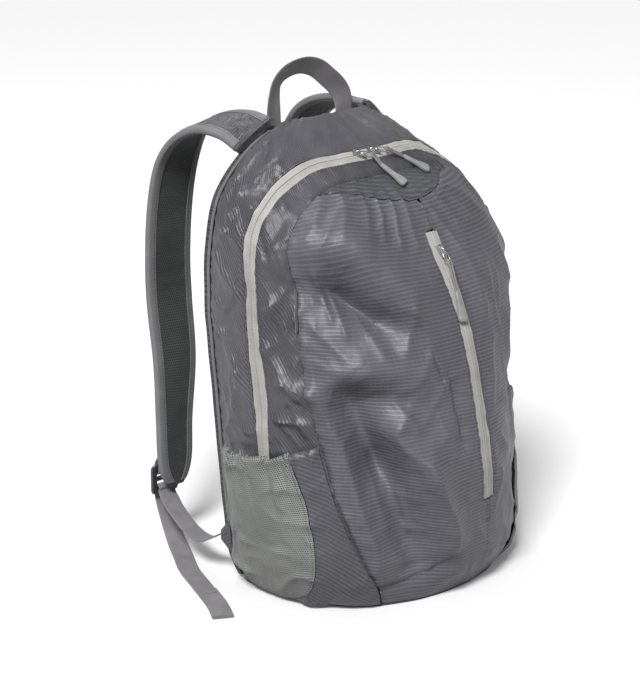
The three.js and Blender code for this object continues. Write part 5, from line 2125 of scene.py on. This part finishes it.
@dataclass
class Pull:
    """A zip's slider, link, cord and grip."""

    name: str
    places: tuple[tuple[float, float], ...]
    lift: float
    body: Body
    shop: Workshop
    slider_length: float = 0.013
    slider_width: float = 0.0078
    slider_wall: float = 0.0032
    bridge_radius: float = 0.0032
    bridge_wire: float = 0.0007
    link_length: float = 0.014
    link_wall: float = 0.0014
    link_wire: float = 0.00085
    cord_width: float = 0.002
    gap: float = 0.0004
    grip_stations: tuple[tuple[float, float, float], ...] = (
        # step along the grip, then how much wider and thicker it gets
        (0.006, 1.1, 1.05),
        (0.009, 1.18, 1.0),
        (0.003, 1.2, 1.1),
        (0.004, 1.32, 1.1),
        (0.0035, 1.02, 1.0),
        (0.0025, 0.78, 0.9),
    )

    def lay(self, origin: Array, target: Array, out: Array) -> Matrix:
        """Give the placing that runs from one point to another with its top facing out."""
        along = unit(target - origin)
        up = unit(out - along * float(np.dot(out, along)))
        side = np.cross(up, along)
        rows = np.column_stack([along, side, up, origin])
        return Matrix([list(r) for r in rows] + [[0, 0, 0, 1]])

    def on(self, place: tuple[float, float], lift: float) -> Array:
        """Give a point above the cloth."""
        return self.body.cloth(np.array([place[0]]), np.array([place[1]]), lift)[0]

    def put(self, piece: Piece, where: Matrix) -> Piece:
        """Bake a placing into a piece's mesh."""
        piece.data.transform(piece.matrix_basis)
        piece.matrix_basis = Matrix.Identity(4)
        piece.data.transform(where)
        piece.data.update()
        return piece

    def slider(self, where: Matrix) -> Piece:
        """Make the slider: a tapered body with a bridge on its top."""
        deselect()
        bpy.ops.mesh.primitive_cube_add(size=1, location=(0, 0, 0))
        piece = bpy.context.active_object
        piece.name = f"{self.name}_slider_body"
        piece.scale = (self.slider_length, self.slider_width, self.slider_wall)
        bpy.ops.object.transform_apply(location=False, rotation=False, scale=True)
        choose(piece, lambda c, n: n.x > 0.9)
        bpy.ops.transform.resize(value=(1, 0.5, 0.8), center_override=(self.slider_length / 2, 0, 0))
        choose(piece, lambda c, n: n.x < -0.9)
        bpy.ops.transform.resize(value=(1, 0.8, 0.9), center_override=(-self.slider_length / 2, 0, 0))
        choose(piece, lambda c, n: n.z > 0.9)
        bpy.ops.mesh.inset(thickness=0.0011, depth=0)
        bpy.ops.mesh.extrude_region_move(TRANSFORM_OT_translate={"value": (0, 0, 0.0005)})
        bpy.ops.transform.resize(value=(0.86, 0.7, 1), center_override=(0, 0, self.slider_wall / 2))
        bpy.ops.object.mode_set(mode="OBJECT")
        round_off(piece, 0.0005, 3)
        deselect()
        bpy.ops.mesh.primitive_torus_add(
            major_radius=self.bridge_radius,
            minor_radius=self.bridge_wire,
            major_segments=32,
            minor_segments=10,
        )
        bridge = bpy.context.active_object
        bridge.rotation_euler = (math.pi / 2, 0, 0)
        bridge.scale = (1.3, 0.72, 1)
        bridge.location = (0, 0, self.slider_wall / 2 - 0.0003)
        bpy.ops.object.transform_apply(location=True, rotation=True, scale=True)
        piece.select_set(True)
        bpy.context.view_layer.objects.active = piece
        bpy.ops.object.join()
        return shade(self.put(piece, where), 40)

    def link(self, where: Matrix) -> Piece:
        """Make the oval link of flat wire."""
        deselect()
        half = self.link_length / 2
        bpy.ops.mesh.primitive_torus_add(
            major_radius=half - self.link_wire,
            minor_radius=self.link_wire,
            major_segments=40,
            minor_segments=10,
        )
        piece = bpy.context.active_object
        piece.name = f"{self.name}_link_wire"
        piece.scale = (1, 0.5, 0.85)
        piece.location = (half, 0, 0)
        bpy.ops.object.transform_apply(location=True, rotation=False, scale=True)
        return shade(self.put(piece, where), 60)

    def cord(self, where: Matrix, length: float) -> Piece:
        """Make the cord's narrow loop from the link to the grip."""
        rows = table(
            (
                (length + 0.002, -0.0013, 0),
                (length * 0.6, -0.0014, 0),
                (0.0025, -0.0016, 0),
                (-0.0005, -0.0015, -0.0002),
                (-0.0016, 0, -0.0002),
                (-0.0005, 0.0015, -0.0002),
                (0.0025, 0.0016, 0),
                (length * 0.6, 0.0014, 0),
                (length + 0.002, 0.0013, 0),
            )
        )
        centre = eased(rows, 70)
        run = direction(centre)
        side = unit(np.cross(run, np.array([0.0, 0.0, 1.0])))
        rings = round_rings(centre, side, np.cross(side, run), self.cord_width / 2, 12)
        piece = sweep(f"{self.name}_cord_loop", rings, distances(centre))
        return self.put(piece, where)

    def grip(self, where: Matrix) -> Piece:
        """Make the moulded grip, drawn out from a block station by station."""
        deselect()
        bpy.ops.mesh.primitive_cube_add(size=1, location=(0.0005, 0, 0))
        piece = bpy.context.active_object
        piece.name = f"{self.name}_grip_mould"
        piece.scale = (0.001, 0.0046, 0.003)
        bpy.ops.object.transform_apply(location=True, rotation=False, scale=True)
        at = 0.001
        for step, wide, thick in self.grip_stations:
            choose(piece, lambda c, n: n.x > 0.9 and c.x > at - 1e-6)
            bpy.ops.mesh.extrude_region_move(TRANSFORM_OT_translate={"value": (step, 0, 0)})
            at += step
            bpy.ops.transform.resize(value=(1, wide, thick), center_override=(at, 0, 0))
            bpy.ops.object.mode_set(mode="OBJECT")
        round_off(piece, 0.0009, 2)
        softer = piece.modifiers.new("soft", "SUBSURF")
        softer.levels = softer.render_levels = 2
        bpy.context.view_layer.objects.active = piece
        bpy.ops.object.modifier_apply(modifier="soft")
        return shade(self.put(piece, where), 60)

    def build(self) -> None:
        """Make the pull's four pieces."""
        zip_at, link_at, tab, end = self.places
        out = self.body.outward(np.array([link_at[0]]), np.array([link_at[1]]))[0]
        slider_lift = 0.0006 + self.gap + self.slider_wall / 2
        link_lift = slider_lift + (self.slider_wall + self.link_wall) / 2 + self.gap
        slider_frame = self.lay(self.on(zip_at, slider_lift), self.on(link_at, slider_lift), out)
        link_frame = self.lay(self.on(zip_at, link_lift), self.on(link_at, link_lift), out)
        knot = link_frame @ Vector((self.link_length - 0.0015, 0, (self.link_wall + self.cord_width) / 2))
        grip_frame = self.lay(self.on(tab, self.lift), self.on(end, self.lift), out)
        start = grip_frame @ Vector((0.0005, 0, 0))
        cord_frame = self.lay(np.array(knot), np.array(start), out)
        finish(self.slider(slider_frame), self.shop["slider_metal"], [f"{self.name}_slider"])
        finish(self.link(link_frame), self.shop["slider_metal"], [f"{self.name}_link"])
        cord = self.cord(cord_frame, (knot - start).length)
        finish(cord, self.shop["strap_weave"], [f"{self.name}_cord"])
        finish(self.grip(grip_frame), self.shop["pull_rubber"], [f"{self.name}_grip"])


def choose(piece: Piece, test: Callable[[Vector, Vector], bool]) -> None:
    """Select a piece's faces by their centre and normal, and go to edit mode.

    Args:
        piece: The piece.
        test: Says of a face's centre and normal whether it is wanted.
    """
    bpy.context.view_layer.objects.active = piece
    if piece.mode != "OBJECT":
        bpy.ops.object.mode_set(mode="OBJECT")
    bpy.context.tool_settings.mesh_select_mode = (False, False, True)
    for item in (*piece.data.vertices, *piece.data.edges):
        item.select = False
    for face in piece.data.polygons:
        face.select = test(face.center, face.normal)
    bpy.ops.object.mode_set(mode="EDIT")


def round_off(piece: Piece, width: float, segments: int, degrees: float = 30.0) -> None:
    """Round a piece's edges that are sharper than an angle.

    Args:
        piece: The piece.
        width: The rounding's width in metres.
        segments: Its steps.
        degrees: The angle.
    """
    bpy.context.view_layer.objects.active = piece
    edge = piece.modifiers.new("edge", "BEVEL")
    edge.width = width
    edge.segments = segments
    edge.limit_method = "ANGLE"
    edge.angle_limit = math.radians(degrees)
    edge.use_clamp_overlap = True
    bpy.ops.object.modifier_apply(modifier="edge")


# Studio


@dataclass(frozen=True)
class Studio:
    """Camera, floor and soft light."""

    aim: tuple[float, float, float] = (-0.052, 0.052, 0.225)
    azimuth: float = -45.0
    elevation: float = 16.8
    distance: float = 2.17
    lens: float = 120.0
    sensor: float = 36.0
    glow: float = 0.05
    room: float = 0.3
    paper: tuple[float, float, float, float] = (0.8, 0.8, 0.805, 1)
    sun_power: float = 3.4
    sun_spread: float = 16.0
    sun_way: tuple[float, float, float] = (1.3, 0.75, -1.6)

    def light(self, name: str, place: tuple[float, float, float], size: float, power: float) -> None:
        """Add a soft square light that faces the pack."""
        data = bpy.data.lights.new(name, "AREA")
        data.shape, data.size, data.energy = "SQUARE", size, power
        lamp = bpy.data.objects.new(name, data)
        lamp.location = place
        aim = Vector((0, 0, 0.2)) - Vector(place)
        lamp.rotation_euler = aim.to_track_quat("-Z", "Y").to_euler()
        bpy.context.scene.collection.objects.link(lamp)

    def build(self) -> None:
        """Set up the studio."""
        scene = bpy.context.scene
        data = bpy.data.cameras.new("camera")
        data.lens, data.sensor_width = self.lens, self.sensor
        data.dof.use_dof = False
        camera = bpy.data.objects.new("camera", data)
        a, e = math.radians(self.azimuth), math.radians(self.elevation)
        back = Vector((math.sin(a) * math.cos(e), -math.cos(a) * math.cos(e), math.sin(e)))
        camera.location = Vector(self.aim) + back * self.distance
        camera.rotation_euler = (-back).to_track_quat("-Z", "Y").to_euler()
        scene.collection.objects.link(camera)
        scene.camera = camera
        scene.view_settings.view_transform = "Standard"
        deselect()
        bpy.ops.mesh.primitive_plane_add(size=14, location=(0, 0, 0))
        floor = bpy.context.active_object
        floor.name = "floor"
        paper = bpy.data.materials.new("floor_paper")
        paper.use_nodes = True
        surface = paper.node_tree.nodes["Principled BSDF"].inputs
        surface["Base Color"].default_value = self.paper
        surface["Roughness"].default_value = 0.9
        surface["Emission Color"].default_value = (1, 1, 1, 1)
        surface["Emission Strength"].default_value = self.glow
        floor.data.materials.append(paper)
        # the paper's own light would flatten the folds
        floor.visible_diffuse = False
        world = bpy.data.worlds.new("room")
        world.use_nodes = True
        background = world.node_tree.nodes["Background"].inputs
        background[0].default_value = (1, 1, 1, 1)
        background[1].default_value = self.room
        scene.world = world
        sun = bpy.data.lights.new("key", "SUN")
        sun.energy, sun.angle = self.sun_power, math.radians(self.sun_spread)
        key = bpy.data.objects.new("key", sun)
        key.rotation_euler = Vector(self.sun_way).to_track_quat("-Z", "Y").to_euler()
        scene.collection.objects.link(key)
        self.light("gloss", (-1.7, -0.7, 1.8), 0.6, 14)
        self.light("fill", (1.3, -2.4, 1.1), 1.2, 5)
        self.light("back", (0.8, 1.6, 2.1), 0.8, 12)


def main() -> None:
    """Build the pack over its frame."""
    logging.basicConfig(level=logging.INFO, format="%(message)s")
    body = Body()
    plan = SeamPlan(body)
    shop = Workshop()
    Studio().build()
    Shell(plan, shop).build()
    Zips(plan, shop).build()
    for hand in Hand:
        SidePocket(hand, body, shop).build()
    BackPad(body, shop).build()
    Strap(Hand.LEFT, body, shop).build()
    Strap(Hand.RIGHT, body, shop, inward=0.016).build()
    for hand in Hand:
        Webbing(hand, shop).build()
    HaulLoop(body, shop).build()
    SideTag(body, shop).build()
    pulls = (
        ("main_left", ((0.452, 0.928), (0.472, 0.92), (0.484, 0.904), (0.506, 0.866)), 0.0042),
        ("main_right", ((0.497, 0.9295), (0.527, 0.924), (0.577, 0.91), (0.62, 0.871)), 0.0024),
        ("pocket", ((0.5035, 0.738), (0.504, 0.705), (0.503, 0.66), (0.501, 0.598)), 0.0034),
    )
    for name, places, lift in pulls:
        Pull(name, places, lift, body, shop).build()
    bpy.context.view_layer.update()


if __name__ == "__main__":
    main()
